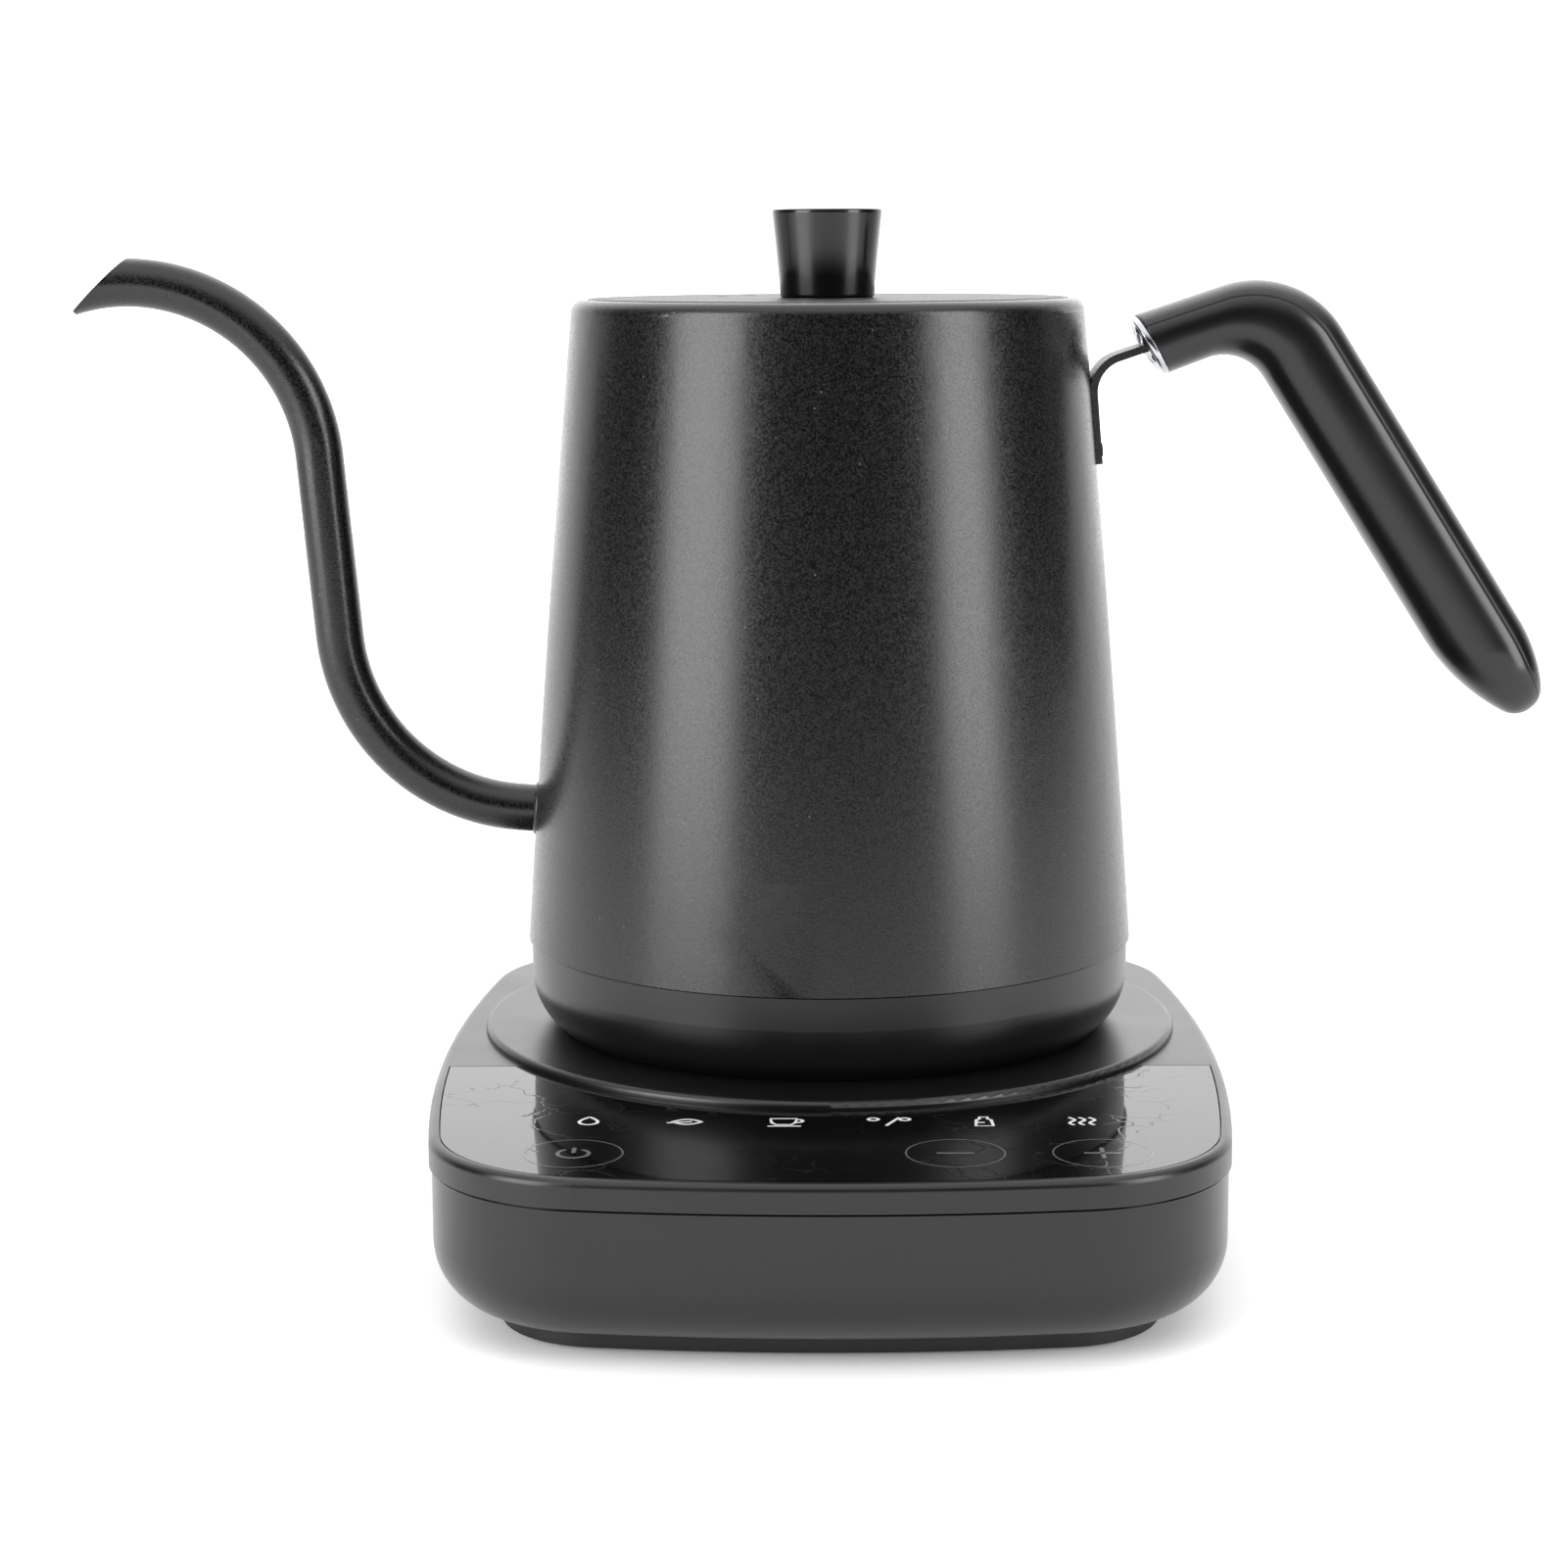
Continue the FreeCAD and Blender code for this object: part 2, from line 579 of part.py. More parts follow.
def make_panel_blank(name, grow, depth):
    """The touch panel's outline: the base's front inside a border, cut along the platform."""
    body = new_body(name)
    plan = new_sketch(body, "XY_Plane", f"cover_top - ({depth})")
    draw_base_plan(plan, f"panel_inset - ({grow})")
    pad(body, plan, f"({depth}) + ({grow})")
    back = new_sketch(body, "XY_Plane", "cover_top + 1")
    draw_outline(back, (
        ("-base_half_width - 1", f"-panel_rear + ({grow})"),
        ("base_half_width + 1", f"-panel_rear + ({grow})"),
        ("base_half_width + 1", "base_half_depth"),
        ("-base_half_width - 1", "base_half_depth"),
    ))
    pocket(body, back, f"({depth}) + 2")
    disc = new_sketch(body, "XY_Plane", "cover_top + 1")
    draw_circle(disc, "0", "0", f"plate_radius + 2 * panel_gap - ({grow})")
    pocket(body, disc, f"({depth}) + 2")
    return body


def make_top_cover():
    """The cover with its recess for the panel, its hole for the platform and four screw bosses."""
    body = new_body("top_cover_blank")
    plan = new_sketch(body, "XY_Plane", "cover_base")
    draw_base_plan(plan, "0")
    slab = pad(body, plan, "cover_rise")
    rounded = fillet(body, slab, "cover_edge", at_height("cover_top"))
    hollow = new_sketch(body, "XY_Plane", "cover_base")
    draw_base_plan(hollow, "shell_setback + shell_wall")
    pocket(body, hollow, "cover_rise - cover_wall", turned=True)
    bosses = new_sketch(body, "XY_Plane", "cover_top - cover_wall")
    for x_text, y_text in corner_places("screw_x", "screw_spread"):
        draw_circle(bosses, x_text, y_text, "screw_shank + boss_wall")
    pad(body, bosses, "cover_top - cover_wall - foot_base - foot_floor - 0.2", turned=True)
    bores = new_sketch(body, "XY_Plane", "foot_base + foot_floor")
    for x_text, y_text in corner_places("screw_x", "screw_spread"):
        draw_circle(bores, x_text, y_text, "screw_shank + 0.05")
    pocket(body, bores, "screw_length + 2", turned=True)
    hole = new_sketch(body, "XY_Plane", "cover_top + 1")
    draw_circle(hole, "0", "0", "plate_spigot + part_gap")
    pocket(body, hole, "cover_wall + 2")
    recess = make_panel_blank("panel_recess", "panel_gap", "panel_thickness + 0.1")
    return cut("top_cover", body, recess)


def make_platform_plate():
    """The round platform that the kettle stands on: a flange on the cover and a spigot in it."""
    return turned_piece("platform_plate", (
        ("plate_hole", "cover_top - cover_wall - 1"),
        ("plate_spigot", "cover_top - cover_wall - 1"),
        ("plate_spigot", "cover_top"),
        ("plate_radius", "cover_top"),
        ("plate_radius", "plate_top - plate_edge"),
        ("plate_radius - plate_edge", "plate_top"),
        ("plate_hole", "plate_top"),
    ), {4: ("plate_edge", 1)})


def make_base_connector():
    """The round connector in the platform: a well with a post in its middle."""
    return turned_piece("base_connector", (
        ("0", "cover_top - cover_wall - 1 - connector_floor"),
        ("plate_hole + connector_flange", "cover_top - cover_wall - 1 - connector_floor"),
        ("plate_hole + connector_flange", "cover_top - cover_wall - 1"),
        ("plate_hole - 0.1", "cover_top - cover_wall - 1"),
        ("plate_hole - 0.1", "plate_top - 0.1"),
        ("well_radius", "plate_top - 0.1"),
        ("well_radius", "plate_top - well_depth"),
        ("post_radius", "plate_top - well_depth"),
        ("post_radius", "plate_top + post_rise - 1"),
        ("post_radius - 1", "plate_top + post_rise"),
        ("socket_radius", "plate_top + post_rise"),
        ("socket_radius", "plate_top + 1"),
        ("0", "plate_top + 1"),
    ))


def make_connector_contacts():
    """Two brass rings let into the post and the pin in its middle."""
    rings = []
    for i, rise in enumerate(("contact_low", "contact_high")):
        rings.append(turned_piece(f"contact_ring_{i}", (
            ("post_radius", f"plate_top + {rise}"),
            ("post_radius + contact_proud", f"plate_top + {rise}"),
            ("post_radius + contact_proud", f"plate_top + {rise} + contact_width"),
            ("post_radius", f"plate_top + {rise} + contact_width"),
        )))
    pin = cylinder("contact_pin", "pin_radius", "post_rise - 2", "0", "0", "plate_top + 1")
    return group("connector_contacts", rings + [pin])


def make_cord_gland():
    """A rubber grommet in the back wall, with a flange outside and a bead inside."""
    body = new_body("cord_gland")
    sketch = new_sketch(body, "YZ_Plane")
    back = "base_half_depth - base_offset - shell_setback"
    draw_outline(sketch, (
        (f"{back} - shell_wall - 2", "gland_height + cord_bore"),
        (f"{back} + 1.6", "gland_height + cord_bore"),
        (f"{back} + 1.6", "gland_height + cord_bore + gland_wall + 1.2"),
        (f"{back} + 0.8", "gland_height + cord_bore + gland_wall + 2"),
        (f"{back} + 0.02", "gland_height + cord_bore + gland_wall + 2"),
        (f"{back} + 0.02", "gland_height + cord_bore + gland_wall"),
        (f"{back} - shell_wall - 0.2", "gland_height + cord_bore + gland_wall"),
        (f"{back} - shell_wall - 0.2", "gland_height + cord_bore + gland_wall + 1"),
        (f"{back} - shell_wall - 2", "gland_height + cord_bore + gland_wall + 0.4"),
    ))
    # A line at the gland's height is the axis that the outline turns round.
    start = Vector(0, number("gland_height"), 0)
    axis = sketch.addGeometry(Part.LineSegment(start, start + Vector(10, 0, 0)), True)
    pin_point(sketch, axis, 1, "0", "gland_height")
    pin_point(sketch, axis, 2, "10", "gland_height")
    revolve(body, sketch, "Axis0")
    return body


def make_board(label, length, width, x, y, z):
    """A circuit board with a hole near each corner."""
    body = new_body(label)
    sketch = new_sketch(body, "XY_Plane", z)
    draw_outline(sketch, (
        (f"{x} - {length} / 2", f"{y} - {width} / 2"),
        (f"{x} + {length} / 2", f"{y} - {width} / 2"),
        (f"{x} + {length} / 2", f"{y} + {width} / 2"),
        (f"{x} - {length} / 2", f"{y} + {width} / 2"),
    ))
    for sx, sy in FOUR_CORNERS:
        draw_circle(sketch, f"{x} + {sx} * ({length} / 2 - 3)", f"{y} + {sy} * ({width} / 2 - 3)", "1.2")
    pad(body, sketch, "1.6")
    return body


def make_base_electrics():
    """The parts inside the base: the power board with its components and the touch board."""
    board_y = "5"
    board_z = "foot_base + foot_floor + 4"
    top = f"{board_z} + 1.6"
    piece("power_board", make_board("power_board", "80", "46", "0", board_y, board_z))
    piece("power_relay", block("power_relay", "19", "15.5", "13", "-24", f"{board_y} + 8", top))
    piece("power_transformer", block("power_transformer", "22", "20", "14", "4", f"{board_y} + 6", top))
    cans = [
        cylinder(f"capacitor_{i}", "4", "12", f"{24 + 9 * i}", f"{board_y} - 8", top) for i in range(2)
    ]
    piece("board_capacitors", group("board_capacitors", cans))
    piece("terminal_block", block("terminal_block", "20", "9", "10", "26", f"{board_y} + 12", top))
    piece("buzzer", cylinder("buzzer", "6", "7.5", "-22", f"{board_y} - 12", top))
    touch_z = "cover_top - cover_wall - 3.4"
    piece("touch_board", make_board("touch_board", "96", "24", "0", "-84", touch_z))
    piece("display_module", block("display_module", "30", "12", "1.7", "0", "-84", f"{touch_z} + 1.6"))


def make_base():
    piece("lower_shell", make_lower_shell())
    piece("foot_plate", make_foot_plate())
    piece("rubber_feet", make_rubber_feet())
    piece("base_screws", make_base_screws())
    piece("top_cover", make_top_cover())
    piece("touch_panel", make_panel_blank("touch_panel", "0", "panel_thickness"))
    piece("platform_plate", make_platform_plate())
    piece("base_connector", make_base_connector())
    piece("connector_contacts", make_connector_contacts())
    piece("cord_gland", make_cord_gland())
    make_base_electrics()


# ---- the kettle ----

def make_kettle_connector():
    """The kettle's half of the connector: a round sleeve that drops over the post."""
    inner = "post_radius + contact_proud + sleeve_gap"
    outer = "well_radius - sleeve_gap"
    return turned_piece("kettle_connector", (
        (inner, "plate_top - well_depth + sleeve_lift"),
        (outer, "plate_top - well_depth + sleeve_lift"),
        (outer, "plate_top + post_rise + 1 + sleeve_roof"),
        ("0", "plate_top + post_rise + 1 + sleeve_roof"),
        ("0", "plate_top + post_rise + 1"),
        (inner, "plate_top + post_rise + 1"),
    ))


def make_kettle_body():
    """The tapered steel body with its floor, shoulder and ledge for the lid."""
    inner_top = "body_top_radius - body_wall"
    body = turned_piece("kettle_body", (
        ("0", "floor_base"),
        ("body_foot_radius - body_wall", "floor_base"),
        ("body_foot_radius - body_wall", "seam"),
        ("body_foot_radius", "seam"),
        ("body_top_radius", "rim - shoulder"),
        ("body_top_radius - shoulder", "rim"),
        ("mouth_radius", "rim"),
        ("mouth_radius", "rim - ledge_drop"),
        ("mouth_radius - ledge_width", "rim - ledge_drop"),
        ("mouth_radius - ledge_width", "rim - ledge_drop - body_wall"),
        (inner_top, "rim - ledge_drop - body_wall - 1.5"),
        ("body_foot_radius - 1.6 * body_wall", "floor_base + body_wall"),
        ("0", "floor_base + body_wall"),
    ), {3: ("body_belly", 1), 4: ("shoulder", 1), 10: ("body_belly", -1)})
    spout_hole = new_sketch(body, "YZ_Plane", "-body_foot_radius - 1")
    draw_circle(spout_hole, "0", "seam + spout_exit_rise - 1.5 * tan(spout_exit_tilt)", "spout_radius + 0.05")
    pocket(body, spout_hole, "body_foot_radius / 2", turned=True)
    sensor_hole = new_sketch(body, "XY_Plane", "floor_base + body_wall + 1")
    draw_circle(sensor_hole, "0", "-sensor_reach", "seal_radius + 0.05")
    pocket(body, sensor_hole, "body_wall + 2")
    return body


SPOUT_START = "body_foot_radius - 5"


def spout_stations():
    """Where the spout's straight stretches and bends meet, from the body to the mouth."""
    x0 = f"-({SPOUT_START})"
    z0 = "seam + spout_exit_rise - 4 * sin(spout_exit_tilt)"
    run = "(spout_exit_run + 4)"
    x1 = f"{x0} - {run} * cos(spout_exit_tilt)"
    z1 = f"{z0} + {run} * sin(spout_exit_tilt)"
    # The lower bend turns from nearly level to nearly upright.
    x2 = f"{x1} - spout_low_bend * (cos(spout_lean) - sin(spout_exit_tilt))"
    z2 = f"{z1} + spout_low_bend * (cos(spout_exit_tilt) - sin(spout_lean))"
    x3 = f"{x2} - spout_upright * sin(spout_lean)"
    z3 = f"{z2} + spout_upright * cos(spout_lean)"
    # The upper bend turns from nearly upright past level to the dipping mouth.
    x4 = f"{x3} - spout_top_bend * (cos(spout_lean) + sin(spout_dip))"
    z4 = f"{z3} + spout_top_bend * (cos(spout_dip) - sin(spout_lean))"
    return (x0, z0), (x1, z1), (x2, z2), (x3, z3), (x4, z4)


def make_spout():
    """A bent tube, cut on a slant at its mouth."""
    body = new_body("spout")
    path = new_sketch(body)
    draw_outline(path, spout_stations(), {1: ("spout_low_bend", -1), 3: ("spout_top_bend", 1)},
                 closed=False)
    for radius, kind in (("spout_radius", "Additive"), ("spout_radius - spout_wall", "Subtractive")):
        section = new_sketch(body, "YZ_Plane", f"-({SPOUT_START})")
        draw_circle(section, "0", spout_stations()[0][1], radius)
        before = body.Shape.Volume if kind == "Subtractive" else 0.0
        tube = body.newObject(f"PartDesign::{kind}Pipe", f"spout_{kind.lower()}")
        tube.Profile = section
        tube.Spine = (path, [f"Edge{i}" for i in range(1, 5)])
        doc.recompute()
        if kind == "Subtractive" and body.Shape.Volume >= before - 1e-6:
            raise RuntimeError("spout: the bore cuts nothing")
    mouth = new_sketch(body, "XZ_Plane", "-spout_radius - 2")
    end_x, end_z = spout_stations()[-1]
    lip_x, lip_z = f"({end_x} + lip_back)", f"({end_z} - lip_drop)"
    slope = "tan(spout_cut_tilt)"
    # The cut's triangle is larger than the tube on every side.
    far, below = "3 * spout_radius", "spout_radius / 2"
    draw_outline(mouth, (
        (f"{lip_x} - {far}", f"{lip_z} - {far}"),
        (f"{lip_x} - {below} / {slope}", f"{lip_z} - {below}"),
        (f"{lip_x} + {far} / {slope}", f"{lip_z} + {far}"),
        (f"{lip_x} - {far}", f"{lip_z} + {far}"),
    ))
    pocket(body, mouth, "2 * spout_radius + 4", turned=True)
    return body


def make_collar():
    """The plastic collar under the steel body, with its rounded lower edge."""
    return turned_piece("kettle_collar", (
        ("collar_foot - collar_lip", "collar_base"),
        ("collar_foot", "collar_base"),
        ("collar_radius", "seam - collar_straight"),
        ("collar_radius", "seam - seam_gap"),
        ("body_foot_radius - body_wall - part_gap", "seam - seam_gap"),
        ("body_foot_radius - body_wall - part_gap", "floor_base - 0.2"),
        ("body_foot_radius - body_wall - collar_wall", "floor_base - 0.2"),
        ("collar_radius - collar_wall - 0.8", "seam - collar_straight"),
        ("collar_foot - 1.6", "collar_base + collar_wall"),
        ("collar_foot - collar_lip", "collar_base + collar_wall"),
    ), {1: ("collar_edge", 1), 7: ("collar_edge - collar_wall", -1)})


def make_bottom_cover():
    """The flat plate under the kettle, with its hole for the connector and three screw holes."""
    inset = "collar_foot - collar_lip - 0.2"
    body = turned_piece("bottom_cover", (
        ("well_radius", "collar_base + part_gap"),
        (inset, "collar_base + part_gap"),
        (inset, "collar_base + collar_wall + 0.02"),
        ("collar_foot - 3", "collar_base + collar_wall + 0.02"),
        ("collar_foot - 3", "cover_lid_top"),
        ("well_radius", "cover_lid_top"),
    ))
    for radius, depth in (("cover_shank + 0.4", "collar_wall + 2"), ("cover_head + 0.2", "1.2")):
        holes = new_sketch(body, "XY_Plane", "collar_base")
        for x_text, y_text in post_places():
            draw_circle(holes, x_text, y_text, radius)
        pocket(body, holes, depth, turned=True)
    return body


def make_bottom_screws():
    """Three screws that hold the bottom cover to the posts of the heater plate."""
    screws = []
    for i, (x_text, y_text) in enumerate(post_places()):
        head = cylinder(f"cover_screw_head_{i}", "cover_head", "0.8", x_text, y_text, "collar_base + 0.4")
        shank = cylinder(f"cover_screw_shank_{i}", "cover_shank", "cover_screw_length", x_text, y_text,
                         "collar_base + 0.4")
        screws.append(fuse(f"cover_screw_{i}", [head, shank]))
    return group("bottom_screws", screws)


def make_heater_plate():
    """The aluminium plate pressed to the steel floor, with three posts for the cover's screws."""
    body = new_body("heater_plate")
    plate = new_sketch(body, "XY_Plane", "heater_base")
    draw_circle(plate, "0", "0", "heater_radius")
    pad(body, plate, "heater_thickness")
    posts = new_sketch(body, "XY_Plane", "heater_base")
    for x_text, y_text in post_places():
        draw_circle(posts, x_text, y_text, "cover_post")
    pad(body, posts, "heater_base - cover_lid_top - 0.05", turned=True)
    bores = new_sketch(body, "XY_Plane", "cover_lid_top - 0.2")
    for x_text, y_text in post_places():
        draw_circle(bores, x_text, y_text, "cover_shank + 0.05")
    pocket(body, bores, "cover_screw_length", turned=True)
    sensor_hole = new_sketch(body, "XY_Plane", "heater_base")
    draw_circle(sensor_hole, "0", "-sensor_reach", "seal_radius + 0.05")
    pocket(body, sensor_hole, "heater_thickness + 0.5", turned=True)
    return body


def make_heating_element():
    """The heating tube under the plate: most of a ring, whose gap is at the sensor."""
    ring = doc.addObject("Part::Torus", "heating_element")
    bind(ring, "Radius1", "element_ring")
    bind(ring, "Radius2", "element_radius")
    ring.Angle3 = 290
    bind(ring, "Placement.Base.z", "heater_base - element_radius")
    ring.Placement.Rotation = Rotation(Vector(0, 0, 1), 305)
    return ring


def make_sensor():
    """The temperature sensor's steel tip stands through the floor; its seal closes the hole."""
    tip = cylinder("sensor_tip", "sensor_radius", "sensor_length", "0", "-sensor_reach", "heater_base")
    foot = cylinder("sensor_foot", "sensor_foot", "2.7", "0", "-sensor_reach", "heater_base - 2.7")
    stem = fuse("temperature_sensor", [tip, foot])
    seal = turned_piece("sensor_seal", (
        ("sensor_radius + 0.02", "heater_base + 0.1"),
        ("seal_radius", "heater_base + 0.1"),
        ("seal_radius", "floor_base + body_wall"),
        ("seal_radius + 1.2", "floor_base + body_wall + 0.02"),
        ("seal_radius + 1.2", "floor_base + body_wall + 1.2"),
        ("sensor_radius + 0.02", "floor_base + body_wall + 1.2"),
    ))
    bind(seal, "Placement.Base.y", "-sensor_reach")
    return stem, seal


def make_thermal_cutouts():
    """Two button thermostats on the underside of the heater plate."""
    cans = []
    for i, side in enumerate((-1, 1)):
        place = (f"{side} * cutout_reach", "14", "heater_base - 5")
        cans.append(cylinder(f"cutout_{i}", "cutout_radius", "5", *place))
    return group("thermal_cutouts", cans)


STRIP_UPRIGHT = (
    # The strip's middle line next to the body, at the bend's corner: it leans with the body's taper.
    "body_foot_radius - strip_sink + strip_thickness / 2"
)


def strip_path():
    """The bracket's middle line: up the body, round a bend and along the handle's axis."""
    # The upright line is x = a - z tan(taper), the handle's axis z = strip_z + (x - strip_x) tan(run_tilt).
    foot_x = f"({STRIP_UPRIGHT})"
    corner_x = (f"({foot_x} - (strip_z - seam - strip_x * tan(run_tilt)) * tan(taper))"
                " / (1 + tan(run_tilt) * tan(taper))")
    corner_z = f"(strip_z + ({corner_x} - strip_x) * tan(run_tilt))"
    reach = "strip_bend * tan((90 + taper - run_tilt) / 2)"
    low_z = "(seam + strip_low)"
    low = (f"{corner_x} + ({corner_z} - {low_z}) * tan(taper)", low_z)
    bend_start = (f"{corner_x} + {reach} * sin(taper)", f"{corner_z} - {reach} * cos(taper)")
    bend_end = (f"{corner_x} + {reach} * cos(run_tilt)", f"{corner_z} + {reach} * sin(run_tilt)")
    end = ("strip_x + tang_length * cos(run_tilt)", "strip_z + tang_length * sin(run_tilt)")
    return low, bend_start, bend_end, end


def make_handle_bracket():
    """A bent steel strip: its lower part lies on the body and its upper part enters the handle."""
    body = new_body("bracket_blank")
    low, bend_start, bend_end, end = strip_path()
    half = "strip_thickness / 2"

    def beside(point, side, tilt):
        """A point moved square to the strip's middle line by half its thickness."""
        x, z = point
        if tilt == "upright":
            return f"{x} + {side} * {half} * cos(taper)", f"{z} + {side} * {half} * sin(taper)"
        return f"{x} + {side} * {half} * sin(run_tilt)", f"{z} - {side} * {half} * cos(run_tilt)"

    sketch = new_sketch(body, "XZ_Plane", "-strip_width / 2")
    draw_outline(sketch, (
        beside(low, 1, "upright"),
        beside(bend_start, 1, "upright"),
        beside(bend_end, 1, "run"),
        beside(end, 1, "run"),
        beside(end, -1, "run"),
        beside(bend_end, -1, "run"),
        beside(bend_start, -1, "upright"),
        beside(low, -1, "upright"),
    ), {1: (f"strip_bend - {half}", -1), 5: (f"strip_bend + {half}", 1)})
    pad(body, sketch, "strip_width")
    # The body's own outside trims the strip's back, so that the strip lies on the round wall.
    core = turned_piece("bracket_trim", (
        ("0", "seam"),
        ("body_foot_radius", "seam"),
        ("body_top_radius", "rim - shoulder"),
        ("0", "rim - shoulder"),
    ), {1: ("body_belly", 1)})
    return cut("handle_bracket", body, core)


def make_bracket_rivet():
    """The small round weld stud near the strip's lower end."""
    low_x, low_z = strip_path()[0]
    out, up = "strip_thickness / 2", "2.4"
    stud = cylinder(
        "bracket_rivet", "1.3", "0.6",
        f"{low_x} + {out} * cos(taper) - {up} * sin(taper)", "0",
        f"{low_z} + {out} * sin(taper) + {up} * cos(taper)")
    stud.Placement.Rotation = Rotation(Vector(0, 1, 0), 90 - number("taper"))
    return stud


def draw_grip(sketch, start_offset):
    """The handle's side outline, from the cap round the bend to the rounded end and back."""
    run_x, run_z = "cos(run_tilt)", "sin(run_tilt)"
    grip_x, grip_z = "sin(grip_tilt)", "cos(grip_tilt)"
    corner_x, corner_z = "handle_corner_reach", "(seam + handle_corner_rise)"
    tan_outer = "bend_outer * tan(turn / 2)"
    tan_inner = "bend_inner * tan(turn / 2)"
    cap_top = (f"cap_top_x + {start_offset} * {run_x}", f"cap_top_z + {start_offset} * {run_z}")
    cap_low = (f"{cap_top[0]} + run_thickness * {run_z} + cap_lead * {run_x}",
               f"{cap_top[1]} - run_thickness * {run_x} + cap_lead * {run_z}")
    points = [
        cap_low,
        (f"inner_x - {tan_inner} * {run_x}", f"inner_z - {tan_inner} * {run_z}"),
        (f"inner_x + {tan_inner} * {grip_x}", f"inner_z - {tan_inner} * {grip_z}"),
        (f"inner_x + grip_inner * {grip_x}", f"inner_z - grip_inner * {grip_z}"),
    ]
    outer = [
        (f"{corner_x} + grip_outer * {grip_x}", f"{corner_z} - grip_outer * {grip_z}"),
        (f"{corner_x} + {tan_outer} * {grip_x}", f"{corner_z} - {tan_outer} * {grip_z}"),
        (f"{corner_x} - {tan_outer} * {run_x}", f"{corner_z} - {tan_outer} * {run_z}"),
        cap_top,
    ]

    def spot(pair):
        return Vector(number(pair[0]), number(pair[1]), 0)

    def line(first, last):
        return sketch.addGeometry(Part.LineSegment(spot(first), spot(last)))

    lower = line(points[0], points[1])
    inner_bend = add_arc(sketch, spot(points[1]), spot(points[2]), number("bend_inner"), -1)
    inner_line = line(points[2], points[3])
    # The three arcs of the end touch each other and the two long lines.
    inward = Vector(-math.cos(math.radians(number("grip_tilt"))),
                    -math.sin(math.radians(number("grip_tilt"))), 0)
    nose = number("tip_nose")
    outer_centre = spot(outer[0]) + inward * number("tip_outer")
    inner_centre = spot(points[3]) - inward * number("tip_inner")
    first_reach, second_reach = number("tip_outer") - nose, number("tip_inner") - nose
    between = inner_centre - outer_centre
    along = (first_reach ** 2 - second_reach ** 2 + between.Length ** 2) / (2 * between.Length)
    across = math.sqrt(max(first_reach ** 2 - along ** 2, 0.0))
    unit = between.normalize()
    nose_centre = outer_centre + unit * along + Vector(unit.y, -unit.x, 0) * across
    inner_touch = nose_centre + (nose_centre - inner_centre).normalize() * nose
    outer_touch = nose_centre + (nose_centre - outer_centre).normalize() * nose
    tip_inner = add_arc(sketch, spot(points[3]), inner_touch, number("tip_inner"), 1)
    tip_nose = add_arc(sketch, inner_touch, outer_touch, nose, 1)
    tip_outer = add_arc(sketch, outer_touch, spot(outer[0]), number("tip_outer"), 1)
    outer_line = line(outer[0], outer[1])
    outer_bend = add_arc(sketch, spot(outer[1]), spot(outer[2]), number("bend_outer"), 1)
    upper = line(outer[2], outer[3])
    cap = line(outer[3], points[0])
    chain = [(lower, 1, 2), inner_bend, (inner_line, 1, 2), tip_inner, tip_nose, tip_outer,
             (outer_line, 1, 2), outer_bend, (upper, 1, 2), (cap, 1, 2)]
    tangent_after = (2, 3, 4, 5)
    for i, this in enumerate(chain):
        following = chain[(i + 1) % len(chain)]
        kind = "Tangent" if i in tangent_after else "Coincident"
        sketch.addConstraint(
            Sketcher.Constraint(kind, this[0], this[2], following[0], following[1]))
    for i, pair in ((0, points[0]), (1, points[1]), (2, points[2]), (3, points[3]),
                    (6, outer[0]), (7, outer[1]), (8, outer[2]), (9, outer[3])):
        pin_point(sketch, chain[i][0], chain[i][1], *pair)
    for i, radius in ((1, "bend_inner"), (3, "tip_inner"), (4, "tip_nose"), (5, "tip_outer"),
                      (7, "bend_outer")):
        hold_radius(sketch, chain[i][0], radius)


def slot_cut(body):
    """Cut the strip's slot along the handle's upper run."""
    gap = "(strip_thickness / 2 + strip_slot_gap)"
    reach = "(tang_length + 0.5)"
    slot = new_sketch(body, "XZ_Plane", "-strip_width / 2 - strip_slot_gap")
    corners = []
    for along, across in (("-8", 1), (reach, 1), (reach, -1), ("-8", -1)):
        corners.append((
            f"strip_x + ({along}) * cos(run_tilt) + {across} * {gap} * sin(run_tilt)",
            f"strip_z + ({along}) * sin(run_tilt) - {across} * {gap} * cos(run_tilt)",
        ))
    draw_outline(slot, corners)
    pocket(body, slot, "strip_width + 2 * strip_slot_gap", turned=True)


def make_handle_grip():
    body = new_body("handle_grip")
    sketch = new_sketch(body, "XZ_Plane", "-grip_width / 2")
    draw_grip(sketch, "cap_thickness")
    block_of_grip = pad(body, sketch, "grip_width")
    half = number("grip_width") / 2
    cap_x = number("cap_top_x + cap_thickness * cos(run_tilt)")
    cap_low = number("cap_top_x + cap_thickness * cos(run_tilt) + run_thickness * sin(run_tilt)"
                     " + cap_lead * cos(run_tilt)")

    def long_edge(box):
        """Edges along the two sides, but not those of the slanted end under the cap."""
        on_side = box.YLength < 1e-4 and abs(abs(box.YMin) - half) < 1e-4
        at_cap = abs(box.XMin - cap_x) < 1e-3 and abs(box.XMax - cap_low) < 1e-3
        return on_side and not at_cap

    fillet(body, block_of_grip, "grip_round", long_edge)
    slot_cut(body)
    return body


